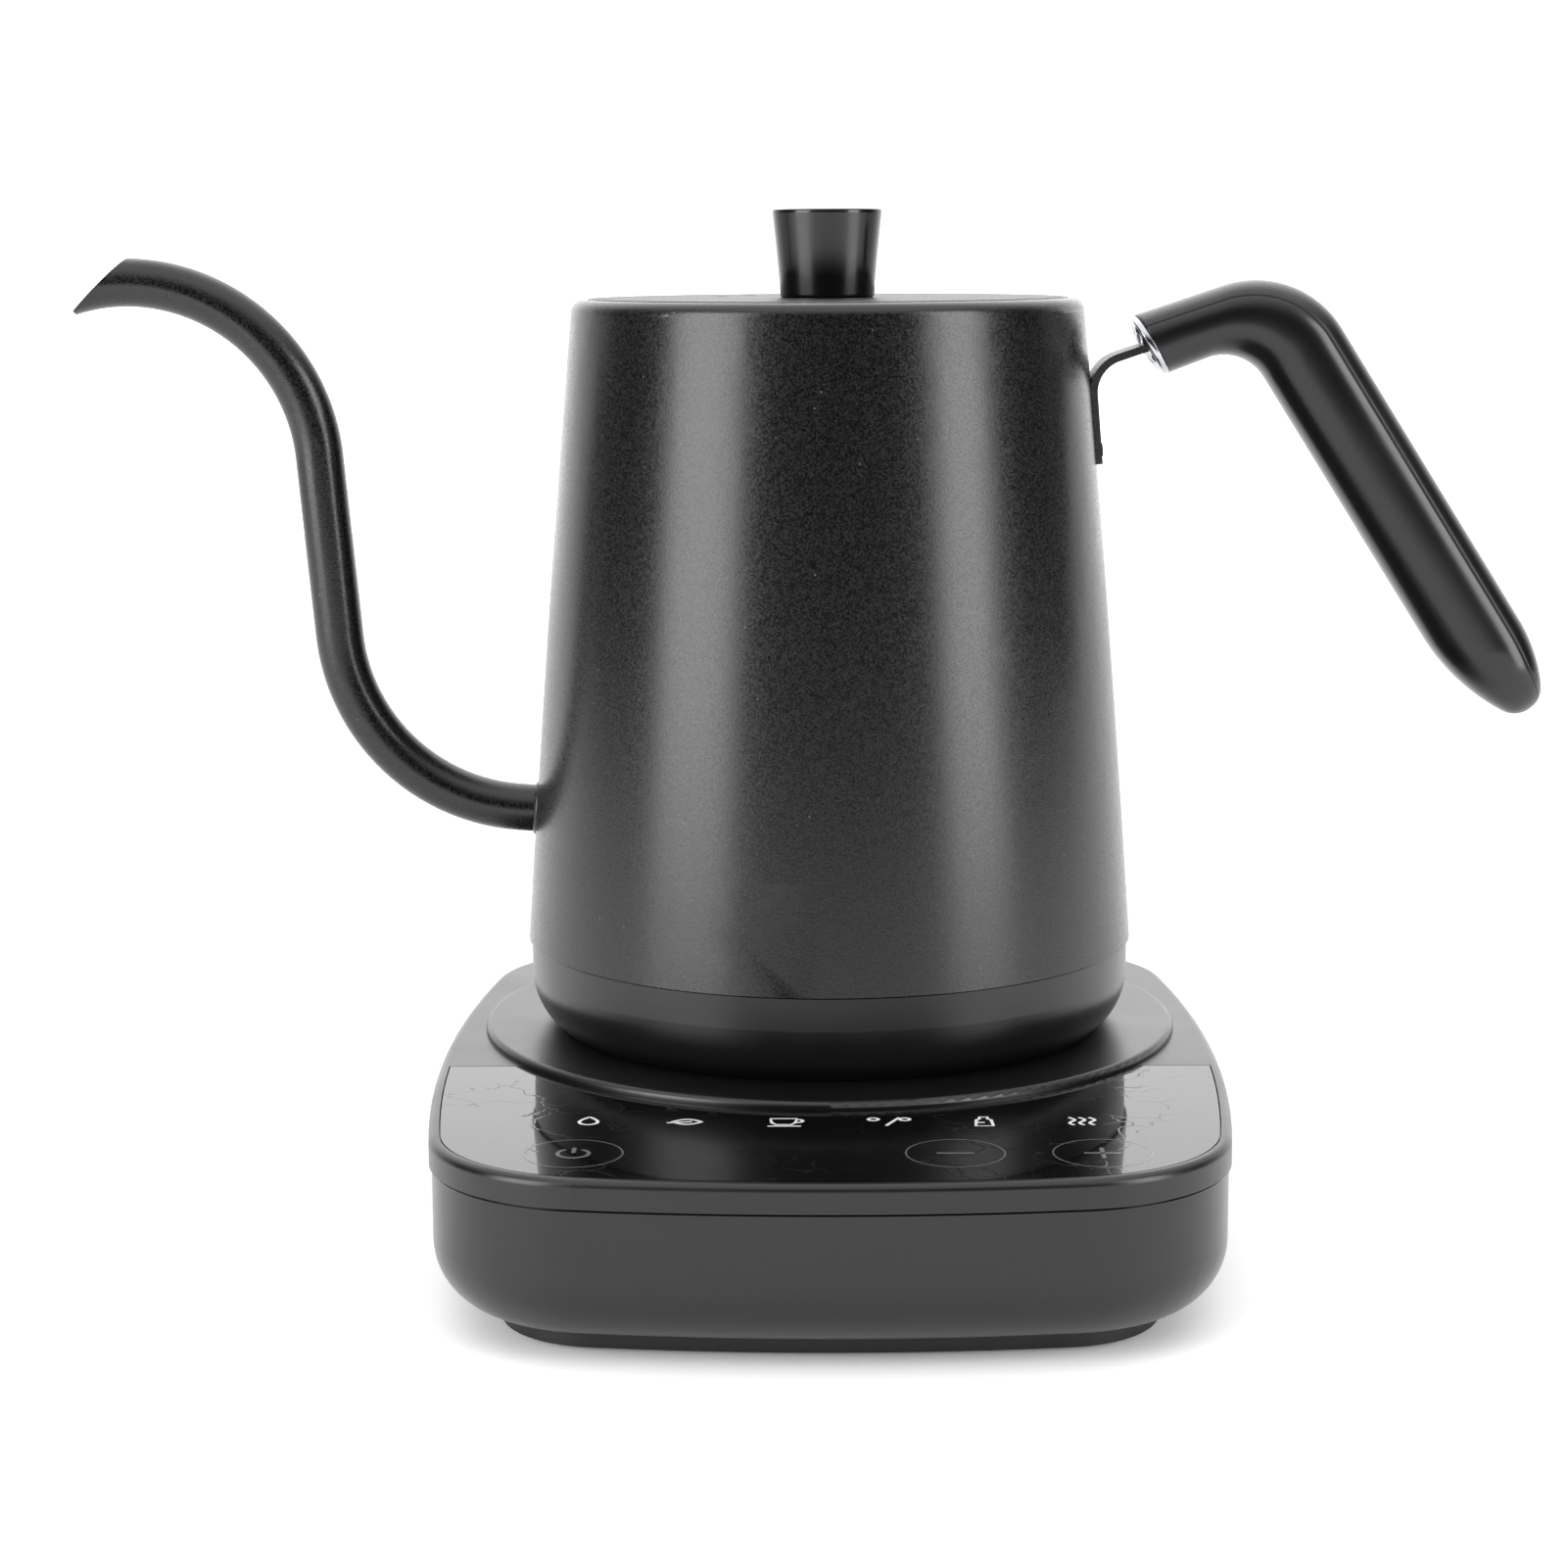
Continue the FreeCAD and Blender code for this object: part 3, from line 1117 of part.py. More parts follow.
def make_handle_cap():
    """The bright cap that closes the handle's end round the strip."""
    body = new_body("handle_cap")
    sketch = new_sketch(body, "XZ_Plane", "-grip_width / 2")
    low_x = "cap_top_x + run_thickness * sin(run_tilt) + cap_lead * cos(run_tilt)"
    low_z = "cap_top_z - run_thickness * cos(run_tilt) + cap_lead * sin(run_tilt)"
    draw_outline(sketch, (
        ("cap_top_x", "cap_top_z"),
        (low_x, low_z),
        (f"{low_x} + cap_thickness * cos(run_tilt)", f"{low_z} + cap_thickness * sin(run_tilt)"),
        ("cap_top_x + cap_thickness * cos(run_tilt)", "cap_top_z + cap_thickness * sin(run_tilt)"),
    ))
    slab = pad(body, sketch, "grip_width")
    half = number("grip_width") / 2
    thickness = number("cap_thickness")

    def short_edge(box):
        on_side = box.YLength < 1e-4 and abs(abs(box.YMin) - half) < 1e-4
        return on_side and math.hypot(box.XLength, box.ZLength) < thickness * 1.2

    fillet(body, slab, "grip_round", short_edge)
    slot_cut(body)
    return body


def make_kettle():
    piece("kettle_connector", make_kettle_connector())
    piece("kettle_body", make_kettle_body())
    piece("spout", make_spout())
    piece("kettle_collar", make_collar())
    piece("bottom_cover", make_bottom_cover())
    piece("bottom_screws", make_bottom_screws())
    piece("heater_plate", make_heater_plate())
    piece("heating_element", make_heating_element())
    stem, seal = make_sensor()
    piece("temperature_sensor", stem)
    piece("sensor_seal", seal)
    piece("thermal_cutouts", make_thermal_cutouts())
    piece("handle_bracket", make_handle_bracket())
    piece("bracket_rivet", make_bracket_rivet())
    piece("handle_grip", make_handle_grip())
    piece("handle_cap", make_handle_cap())


# ---- the lid ----

def make_lid_disc():
    """The flat lid with its screw hole and two steam vents."""
    body = turned_piece("lid_disc", (
        ("2.1", "lid_base"),
        ("mouth_radius - lid_gap", "lid_base"),
        ("mouth_radius - lid_gap", "lid_top - 0.4"),
        ("mouth_radius - lid_gap - 0.4", "lid_top"),
        ("2.1", "lid_top"),
    ), {2: ("0.4", 1)})
    vents = new_sketch(body, "XY_Plane", "lid_top + 1")
    for side in (-1, 1):
        bearing = f"(vent_bearing + {side} * vent_spread)"
        draw_circle(vents, f"vent_reach * cos({bearing})", f"vent_reach * sin({bearing})", "vent_radius")
    pocket(body, vents, "lid_thickness + 2")
    return body


def make_lid():
    piece("lid_disc", make_lid_disc())
    outer = "lid_skirt_radius"
    piece("lid_skirt", turned_piece("lid_skirt", (
        (f"{outer} - lid_skirt_wall", "lid_base - lid_skirt_rise"),
        (outer, "lid_base - lid_skirt_rise"),
        (outer, "lid_base"),
        (f"{outer} - lid_skirt_wall - 4", "lid_base"),
        (f"{outer} - lid_skirt_wall - 4", "lid_base - 0.8"),
        (f"{outer} - lid_skirt_wall", "lid_base - 0.8"),
    )))
    knob = turned_piece("lid_knob", (
        ("0", "lid_top"),
        ("knob_foot_radius", "lid_top"),
        ("knob_top_radius", "lid_top + knob_rise - 0.5"),
        ("knob_top_radius - 0.5", "lid_top + knob_rise"),
        ("0", "lid_top + knob_rise"),
    ))
    bore = new_sketch(knob, "XY_Plane", "lid_top")
    draw_circle(bore, "0", "0", "1.95")
    pocket(knob, bore, "9", turned=True)
    piece("lid_knob", knob)
    head = cylinder("knob_screw_head", "3.8", "2.2", "0", "0", "lid_base - 2.2")
    shank = cylinder("knob_screw_shank", "1.9", "2.2 + lid_thickness + 8", "0", "0", "lid_base - 2.2")
    piece("knob_screw", fuse("knob_screw", [head, shank]))


# ---- checks and export ----

def check_document():
    """Stop if any object failed or any sub-part is not a sound solid."""
    doc.recompute()
    for thing in doc.Objects:
        if "Invalid" in thing.State or "Error" in thing.State:
            raise RuntimeError(f"{thing.Name} failed: {thing.State}")
    for thing in pieces:
        shape = thing.Shape
        if shape.isNull() or not shape.isValid() or not shape.Solids:
            raise RuntimeError(f"{thing.Label} has no sound shape")


def write_parts():
    os.makedirs("parts", exist_ok=True)
    for thing in pieces:
        thing.Shape.exportStep(f"parts/{thing.Label}.step")


make_base()
make_kettle()
make_lid()
check_document()
write_parts()
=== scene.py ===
"""Looks of a gooseneck electric kettle on its base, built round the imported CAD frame."""

import json
import logging
import math
from dataclasses import dataclass, field
from enum import Enum

import bmesh
import bpy
import numpy as np
from mathutils import Matrix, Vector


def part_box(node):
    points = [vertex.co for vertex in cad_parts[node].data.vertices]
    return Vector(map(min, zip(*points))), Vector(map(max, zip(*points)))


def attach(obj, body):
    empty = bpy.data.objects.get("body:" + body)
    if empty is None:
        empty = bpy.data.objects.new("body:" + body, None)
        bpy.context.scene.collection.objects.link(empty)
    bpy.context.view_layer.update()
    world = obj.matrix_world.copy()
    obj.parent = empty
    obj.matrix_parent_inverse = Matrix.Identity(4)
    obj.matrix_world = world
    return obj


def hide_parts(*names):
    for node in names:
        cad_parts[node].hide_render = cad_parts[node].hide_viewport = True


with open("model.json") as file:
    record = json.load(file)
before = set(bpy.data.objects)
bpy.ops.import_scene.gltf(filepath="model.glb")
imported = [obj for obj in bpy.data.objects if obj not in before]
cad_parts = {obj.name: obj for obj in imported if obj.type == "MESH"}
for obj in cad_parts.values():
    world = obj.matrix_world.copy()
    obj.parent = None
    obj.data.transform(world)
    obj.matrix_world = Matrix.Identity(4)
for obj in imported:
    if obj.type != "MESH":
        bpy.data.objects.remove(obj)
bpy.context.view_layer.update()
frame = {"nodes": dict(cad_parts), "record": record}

LOG = logging.getLogger("kettle")
MM = 0.001
# Height of the seam between collar and steel body over the table, in millimetres.
SEAM = 53.2

Colour = tuple[float, float, float, float]
Place = tuple[float, float]


# ---- colours, nodes and meshes ----


def linear(hex_code: str) -> Colour:
    """Turns an sRGB hex colour into linear light.

    Args:
        hex_code: six hex digits, with or without a hash.

    Returns:
        Red, green, blue and alpha, each from 0 to 1.
    """
    digits = hex_code.lstrip("#")
    channels = [int(digits[i : i + 2], 16) / 255 for i in (0, 2, 4)]
    light = [c / 12.92 if c <= 0.04045 else ((c + 0.055) / 1.055) ** 2.4 for c in channels]
    return (light[0], light[1], light[2], 1.0)


def shaded(colour: Colour, factor: float) -> Colour:
    """Scales a linear colour, to 1 at the most, and keeps it opaque.

    Args:
        colour: red, green, blue and alpha.
        factor: what the first three are multiplied by.

    Returns:
        The darker or lighter colour.
    """
    red, green, blue = (min(1.0, channel * factor) for channel in colour[:3])
    return (red, green, blue, 1.0)


def add_node(
    tree: bpy.types.NodeTree, kind: str, settings: dict, links: dict | None = None
) -> bpy.types.Node:
    """Adds one shader node.

    Args:
        tree: the material's node tree.
        kind: the node's type name.
        settings: input names or attributes and their values.
        links: input names or numbers and the sockets that feed them.

    Returns:
        The new node.
    """
    made = tree.nodes.new(kind)
    for key, value in settings.items():
        if isinstance(key, int) or key in made.inputs:
            made.inputs[key].default_value = value
        else:
            setattr(made, key, value)
    for key, source in (links or {}).items():
        tree.links.new(source, made.inputs[key])
    return made


def grid_faces(rows: int, columns: int, wrap_rows: bool, wrap_columns: bool) -> np.ndarray:
    """Quads of a grid of points, row by row.

    Args:
        rows: points along the first parameter.
        columns: points along the second parameter.
        wrap_rows: whether the last row joins the first.
        wrap_columns: whether the last column joins the first.

    Returns:
        An array of four corner numbers for each face.
    """
    i = np.arange(rows if wrap_rows else rows - 1)
    j = np.arange(columns if wrap_columns else columns - 1)
    a, b = np.meshgrid(i, j, indexing="ij")
    a2, b2 = (a + 1) % rows, (b + 1) % columns
    corners = [a * columns + b, a * columns + b2, a2 * columns + b2, a2 * columns + b]
    quads = np.stack(corners, axis=-1)
    return quads.reshape(-1, 4)


def make_object(name: str, points: np.ndarray, faces: list | np.ndarray) -> bpy.types.Object:
    """Makes a smooth-shaded mesh object at the origin.

    Args:
        name: the piece's name.
        points: an array of places in metres.
        faces: corner numbers of each face.

    Returns:
        The new object, linked to the scene.
    """
    mesh = bpy.data.meshes.new(name)
    corners = [list(map(int, face)) for face in faces]
    mesh.from_pydata(np.asarray(points, dtype=float).tolist(), [], corners)
    mesh.polygons.foreach_set("use_smooth", np.full(len(mesh.polygons), True))
    mesh.update()
    made = bpy.data.objects.new(name, mesh)
    bpy.context.scene.collection.objects.link(made)
    return made


def arc(centre: Place, radius: float, start: float, end: float, count: int) -> np.ndarray:
    """Points on a circle: centre + radius (cos a, sin a), with a from start to end in degrees.

    Args:
        centre: the circle's centre.
        radius: its radius.
        start: first angle.
        end: last angle.
        count: number of points.

    Returns:
        An array of points in the plane.
    """
    a = np.radians(np.linspace(start, end, count))
    return np.stack([centre[0] + radius * np.cos(a), centre[1] + radius * np.sin(a)], axis=1)


def polyline(*corners: Place) -> np.ndarray:
    """An array of the given corners."""
    return np.array(corners, dtype=float)


def heading(ahead: np.ndarray) -> float:
    """The angle of a direction in the plane, in degrees."""
    return math.degrees(math.atan2(ahead[1], ahead[0]))


def superellipse(angles: np.ndarray, squareness: float) -> tuple[np.ndarray, np.ndarray]:
    """A rounded rectangle of half widths 1: sgn(cos a) |cos a|^(2/n) and sgn(sin a) |sin a|^(2/n).

    Args:
        angles: the angles a, in radians.
        squareness: n, 2 for a circle and more for squarer sides.

    Returns:
        Both coordinates at each angle.
    """
    power = 2 / squareness
    c, s = np.cos(angles), np.sin(angles)
    return np.sign(c) * np.abs(c) ** power, np.sign(s) * np.abs(s) ** power


def lathe(name: str, profile: np.ndarray, segments: int = 192) -> bpy.types.Object:
    """Turns a closed outline of radii and heights round the Z axis.

    The point at angle t and outline step k is (r_k cos t, r_k sin t, z_k). The outline runs
    clockwise, with the radius to the right and the height up, so that faces point outwards.

    Args:
        name: the piece's name.
        profile: radii and heights in millimetres, not repeating the first point.
        segments: points round the axis.

    Returns:
        The new object.
    """
    t = np.linspace(0, 2 * np.pi, segments, endpoint=False)
    r, z = profile[:, 0:1], profile[:, 1:2]
    heights = np.broadcast_to(z, (len(r), segments))
    points = np.stack([r * np.cos(t), r * np.sin(t), heights], axis=-1)
    faces = grid_faces(len(r), segments, True, True)
    return make_object(name, points.reshape(-1, 3) * MM, faces)


def outward(thing: bpy.types.Object) -> None:
    """Turns every face of a closed piece outwards.

    Args:
        thing: the piece, with its neighbouring faces already joined.
    """
    work = bmesh.new()
    work.from_mesh(thing.data)
    bmesh.ops.recalc_face_normals(work, faces=work.faces)
    work.to_mesh(thing.data)
    work.free()


def capped_tube(name: str, rings: np.ndarray, start: np.ndarray, end: np.ndarray) -> bpy.types.Object:
    """Joins rings of points into a tube and closes both ends with a fan of triangles.

    Args:
        name: the piece's name.
        rings: points in millimetres, by ring, by place round the ring and by coordinate.
        start: the point that closes the first ring.
        end: the point that closes the last ring.

    Returns:
        The closed piece, with its faces outwards.
    """
    count, around = rings.shape[:2]
    first = count * around
    base = first - around
    faces = [tuple(face) for face in grid_faces(count, around, False, True)]
    faces += [(first, (i + 1) % around, i) for i in range(around)]
    faces += [(first + 1, base + i, base + (i + 1) % around) for i in range(around)]
    thing = make_object(name, np.vstack([rings.reshape(-1, 3), start, end]) * MM, faces)
    outward(thing)
    return thing


def dress(thing: bpy.types.Object, finish: bpy.types.Material) -> None:
    """Gives every material slot of an object one material.

    Args:
        thing: the object.
        finish: the material.
    """
    if not thing.material_slots:
        thing.data.materials.append(finish)
    for place in thing.material_slots:
        place.material = finish


# ---- finishes ----


@dataclass(frozen=True)
class CoatedSteel:
    """Steel under a satin polyester powder coat.

    The coat flows into a fine orange peel, so its highlights are broad and soft and break up into a
    grain.
    The grain's shade and light are painted into the colour, each grain a random tone from a darker
    hollow to a lighter crest, and a few pale specks are painted in as glints where a grain stands proud.
    The real grain is too fine to show, so it is drawn coarser, at the size in grain_mm.
    """

    name: str = "satin_powder_coat"
    colour: str = "#0d0d0e"
    painted_glint: str = "#5a5a5a"
    roughness: float = 0.24
    grain_mm: float = 0.45
    relief: float = 0.45
    relief_mm: float = 0.05
    grit_to_grain: float = 1.5
    hollow_shade: float = 0.25
    crest_shade: float = 2.1
    smoother: float = 0.05
    rougher: float = 0.08
    speck_grains: float = 2.6
    speck_core: float = 0.08
    speck_rim: float = 0.2
    speck_rarity: float = 0.988

    def material(self) -> bpy.types.Material:
        """Builds the node tree.

        Returns:
            The new material.
        """
        made, tree, shader = principled(self.name)
        place = add_node(tree, "ShaderNodeTexCoord", {})
        size = 1 / (self.grain_mm * MM)
        fine = add_node(tree, "ShaderNodeTexNoise", {"Scale": size, "Detail": 3.0, "Roughness": 0.7},
                        {"Vector": place.outputs["Object"]})
        grit = add_node(tree, "ShaderNodeTexWhiteNoise", {},
                        {"Vector": self.cells(tree, place.outputs["Object"], self.grit_to_grain * size)})
        # Pale specks painted into the colour as glints on grains that stand proud.
        glint_cells = add_node(tree, "ShaderNodeTexVoronoi", {"Scale": size / self.speck_grains},
                          {"Vector": place.outputs["Object"]})
        few = add_node(tree, "ShaderNodeMapRange",
                       {"From Min": self.speck_core, "From Max": self.speck_rim,
                        "To Min": 1.0, "To Max": 0.0},
                       {"Value": glint_cells.outputs["Distance"]})
        chance = add_node(tree, "ShaderNodeSeparateColor", {}, {"Color": glint_cells.outputs["Color"]})
        rare = add_node(tree, "ShaderNodeMath", {"operation": "GREATER_THAN", 1: self.speck_rarity},
                        {0: chance.outputs["Red"]})
        amount = add_node(tree, "ShaderNodeMath", {"operation": "MULTIPLY"},
                          {0: few.outputs["Result"], 1: rare.outputs["Value"]})
        base = linear(self.colour)
        # Painted shade and light of the grain: each grain cell takes a random tone between a darker copy
        # of the colour for a hollow and a lighter one for a crest.
        painted_grain_shade = add_node(tree, "ShaderNodeMix",
                          {"data_type": "RGBA", 6: shaded(base, self.hollow_shade),
                           7: shaded(base, self.crest_shade)}, {0: grit.outputs["Value"]})
        colour = add_node(tree, "ShaderNodeMix", {"data_type": "RGBA", 7: linear(self.painted_glint)},
                          {0: amount.outputs["Value"], 6: painted_grain_shade.outputs[2]})
        tree.links.new(colour.outputs[2], shader.inputs["Base Color"])
        gloss = add_node(tree, "ShaderNodeMapRange",
                         {"To Min": self.roughness - self.smoother,
                          "To Max": self.roughness + self.rougher},
                         {"Value": grit.outputs["Value"]})
        tree.links.new(gloss.outputs["Result"], shader.inputs["Roughness"])
        bump = add_node(tree, "ShaderNodeBump",
                        {"Strength": self.relief, "Distance": self.relief_mm * MM},
                        {"Height": fine.outputs["Fac"]})
        tree.links.new(bump.outputs["Normal"], shader.inputs["Normal"])
        return made

    @staticmethod
    def cells(
        tree: bpy.types.NodeTree, vector: bpy.types.NodeSocket, size: float
    ) -> bpy.types.NodeSocket:
        """Rounds places down to a fine lattice, so that each grain has one value.

        Args:
            tree: the material's node tree.
            vector: the places.
            size: grains to the metre.

        Returns:
            The rounded places.
        """
        larger = add_node(tree, "ShaderNodeVectorMath",
                          {"operation": "MULTIPLY", 1: (size, size, size)}, {0: vector})
        floor = add_node(tree, "ShaderNodeVectorMath", {"operation": "FLOOR"},
                         {0: larger.outputs["Vector"]})
        return floor.outputs["Vector"]


@dataclass(frozen=True)
class MouldedPlastic:
    """Injection-moulded ABS or polypropylene with a fine satin tool finish.

    It is an even black whose highlights fade softly, with a texture just too fine to see.
    """

    name: str
    colour: str
    roughness: float = 0.36
    grain_mm: float = 0.5
    relief: float = 0.05
    mottling: float = 0.03
    relief_mm: float = 0.03
    cloud_mm: float = 26
    cloud_low: float = 0.3
    cloud_high: float = 0.7
    dark_shade: float = 0.88
    light_shade: float = 1.12
    ior: float = 1.5

    def material(self) -> bpy.types.Material:
        """Builds the node tree.

        Returns:
            The new material.
        """
        made, tree, shader = principled(self.name)
        shader.inputs["IOR"].default_value = self.ior
        place = add_node(tree, "ShaderNodeTexCoord", {})
        fine = add_node(tree, "ShaderNodeTexNoise",
                        {"Scale": 1 / (self.grain_mm * MM), "Detail": 2.0},
                        {"Vector": place.outputs["Object"]})
        cloud = add_node(tree, "ShaderNodeTexNoise",
                         {"Scale": 1 / (self.cloud_mm * MM), "Detail": 3.0},
                         {"Vector": place.outputs["Object"]})
        base = linear(self.colour)
        shade = add_node(tree, "ShaderNodeMix",
                         {"data_type": "RGBA", 6: shaded(base, self.dark_shade),
                          7: shaded(base, self.light_shade)}, {0: cloud.outputs["Fac"]})
        tree.links.new(shade.outputs[2], shader.inputs["Base Color"])
        gloss = add_node(tree, "ShaderNodeMapRange",
                         {"From Min": self.cloud_low, "From Max": self.cloud_high,
                          "To Min": self.roughness - self.mottling,
                          "To Max": self.roughness + self.mottling},
                         {"Value": cloud.outputs["Fac"]})
        tree.links.new(gloss.outputs["Result"], shader.inputs["Roughness"])
        bump = add_node(tree, "ShaderNodeBump",
                        {"Strength": self.relief, "Distance": self.relief_mm * MM},
                        {"Height": fine.outputs["Fac"]})
        tree.links.new(bump.outputs["Normal"], shader.inputs["Normal"])
        return made


@dataclass(frozen=True)
class GlossAcrylic:
    """Black acrylic, polished like a mirror, with the hairlines and dust of handling.

    It reflects what stands behind it sharply, and the hairlines show where that is bright.
    """

    name: str = "gloss_acrylic"
    colour: str = "#08080a"
    roughness: float = 0.05
    ior: float = 1.49
    hairline_mm: float = 11.0
    hairline_core: float = 0.004
    hairline_edge: float = 0.022
    bend_mm: float = 9
    bend_shift: float = 0.012
    patch_mm: float = 14
    patch_low: float = 0.44
    patch_high: float = 0.56
    worn_roughness: float = 0.34
    relief: float = 0.25
    relief_mm: float = 0.05

    def material(self) -> bpy.types.Material:
        """Builds the node tree.

        Returns:
            The new material.
        """
        made, tree, shader = principled(self.name)
        shader.inputs["Base Color"].default_value = linear(self.colour)
        shader.inputs["IOR"].default_value = self.ior
        place = add_node(tree, "ShaderNodeTexCoord", {})
        bend = add_node(tree, "ShaderNodeTexNoise", {"Scale": 1 / (self.bend_mm * MM), "Detail": 3.0},
                        {"Vector": place.outputs["Object"]})
        warp = add_node(tree, "ShaderNodeVectorMath",
                        {"operation": "MULTIPLY_ADD", 1: (self.bend_shift, self.bend_shift, 0.0)},
                        {0: bend.outputs["Color"], 2: place.outputs["Object"]})
        cells = add_node(tree, "ShaderNodeTexVoronoi",
                         {"feature": "DISTANCE_TO_EDGE", "Scale": 1 / (self.hairline_mm * MM)},
                         {"Vector": warp.outputs["Vector"]})
        line = add_node(tree, "ShaderNodeMapRange",
                        {"From Min": self.hairline_core, "From Max": self.hairline_edge,
                         "To Min": 1.0, "To Max": 0.0},
                        {"Value": cells.outputs["Distance"]})
        patch = add_node(tree, "ShaderNodeTexNoise",
                         {"Scale": 1 / (self.patch_mm * MM), "Detail": 2.0},
                         {"Vector": place.outputs["Object"]})
        some = add_node(tree, "ShaderNodeMapRange",
                        {"From Min": self.patch_low, "From Max": self.patch_high},
                        {"Value": patch.outputs["Fac"]})
        marks = add_node(tree, "ShaderNodeMath", {"operation": "MULTIPLY"},
                         {0: line.outputs["Result"], 1: some.outputs["Result"]})
        gloss = add_node(tree, "ShaderNodeMapRange",
                         {"To Min": self.roughness, "To Max": self.worn_roughness},
                         {"Value": marks.outputs["Value"]})
        tree.links.new(gloss.outputs["Result"], shader.inputs["Roughness"])
        bump = add_node(tree, "ShaderNodeBump",
                        {"Strength": self.relief, "Distance": self.relief_mm * MM, "invert": True},
                        {"Height": marks.outputs["Value"]})
        tree.links.new(bump.outputs["Normal"], shader.inputs["Normal"])
        return made


@dataclass(frozen=True)
class WorkedMetal:
    """Bare metal, brushed or polished in one direction.

    Brushing stretches its highlights across the strokes; polish leaves only faint waves.
    """

    name: str
    colour: str
    roughness: float
    stroke_mm: float = 0.3
    stretch: float = 18.0
    relief: float = 0.06
    relief_mm: float = 0.02
    smoother: float = 0.7
    rougher: float = 1.3

    def material(self) -> bpy.types.Material:
        """Builds the node tree.

        Returns:
            The new material.
        """
        made, tree, shader = principled(self.name)
        shader.inputs["Metallic"].default_value = 1.0
        shader.inputs["Base Color"].default_value = linear(self.colour)
        place = add_node(tree, "ShaderNodeTexCoord", {})
        turn = add_node(tree, "ShaderNodeMapping", {"Scale": (1.0, 1.0, 1 / self.stretch)},
                        {"Vector": place.outputs["Object"]})
        strokes = add_node(tree, "ShaderNodeTexNoise",
                           {"Scale": 1 / (self.stroke_mm * MM), "Detail": 3.0},
                           {"Vector": turn.outputs["Vector"]})
        gloss = add_node(tree, "ShaderNodeMapRange",
                         {"To Min": self.roughness * self.smoother,
                          "To Max": self.roughness * self.rougher},
                         {"Value": strokes.outputs["Fac"]})
        tree.links.new(gloss.outputs["Result"], shader.inputs["Roughness"])
        bump = add_node(tree, "ShaderNodeBump",
                        {"Strength": self.relief, "Distance": self.relief_mm * MM},
                        {"Height": strokes.outputs["Fac"]})
        tree.links.new(bump.outputs["Normal"], shader.inputs["Normal"])
        return made


@dataclass(frozen=True)
class PrintedInk:
    """Pale screen-printed ink, thin and slightly uneven, with a faint painted glow as though lit from
    behind.
    """

    name: str
    colour: str
    glow: float
    roughness: float = 0.25
    wear_mm: float = 1.2
    worn_shade: float = 0.7

    def material(self) -> bpy.types.Material:
        """Builds the node tree.

        Returns:
            The new material.
        """
        made, tree, shader = principled(self.name)
        place = add_node(tree, "ShaderNodeTexCoord", {})
        wear = add_node(tree, "ShaderNodeTexNoise", {"Scale": 1 / (self.wear_mm * MM), "Detail": 2.0},
                        {"Vector": place.outputs["Object"]})
        base = linear(self.colour)
        shade = add_node(tree, "ShaderNodeMix",
                         {"data_type": "RGBA", 6: shaded(base, self.worn_shade), 7: base},
                         {0: wear.outputs["Fac"]})
        tree.links.new(shade.outputs[2], shader.inputs["Base Color"])
        shader.inputs["Roughness"].default_value = self.roughness
        # The ink's glow is painted in as emission, not given by a lamp.
        shader.inputs["Emission Color"].default_value = base
        shader.inputs["Emission Strength"].default_value = self.glow
        return made


def principled(name: str) -> tuple[bpy.types.Material, bpy.types.NodeTree, bpy.types.Node]:
    """Starts a material with its shader.

    Args:
        name: the material's name.

    Returns:
        The material, its node tree and its Principled BSDF.
    """
    made = bpy.data.materials.new(name)
    made.use_nodes = True
    return made, made.node_tree, made.node_tree.nodes["Principled BSDF"]


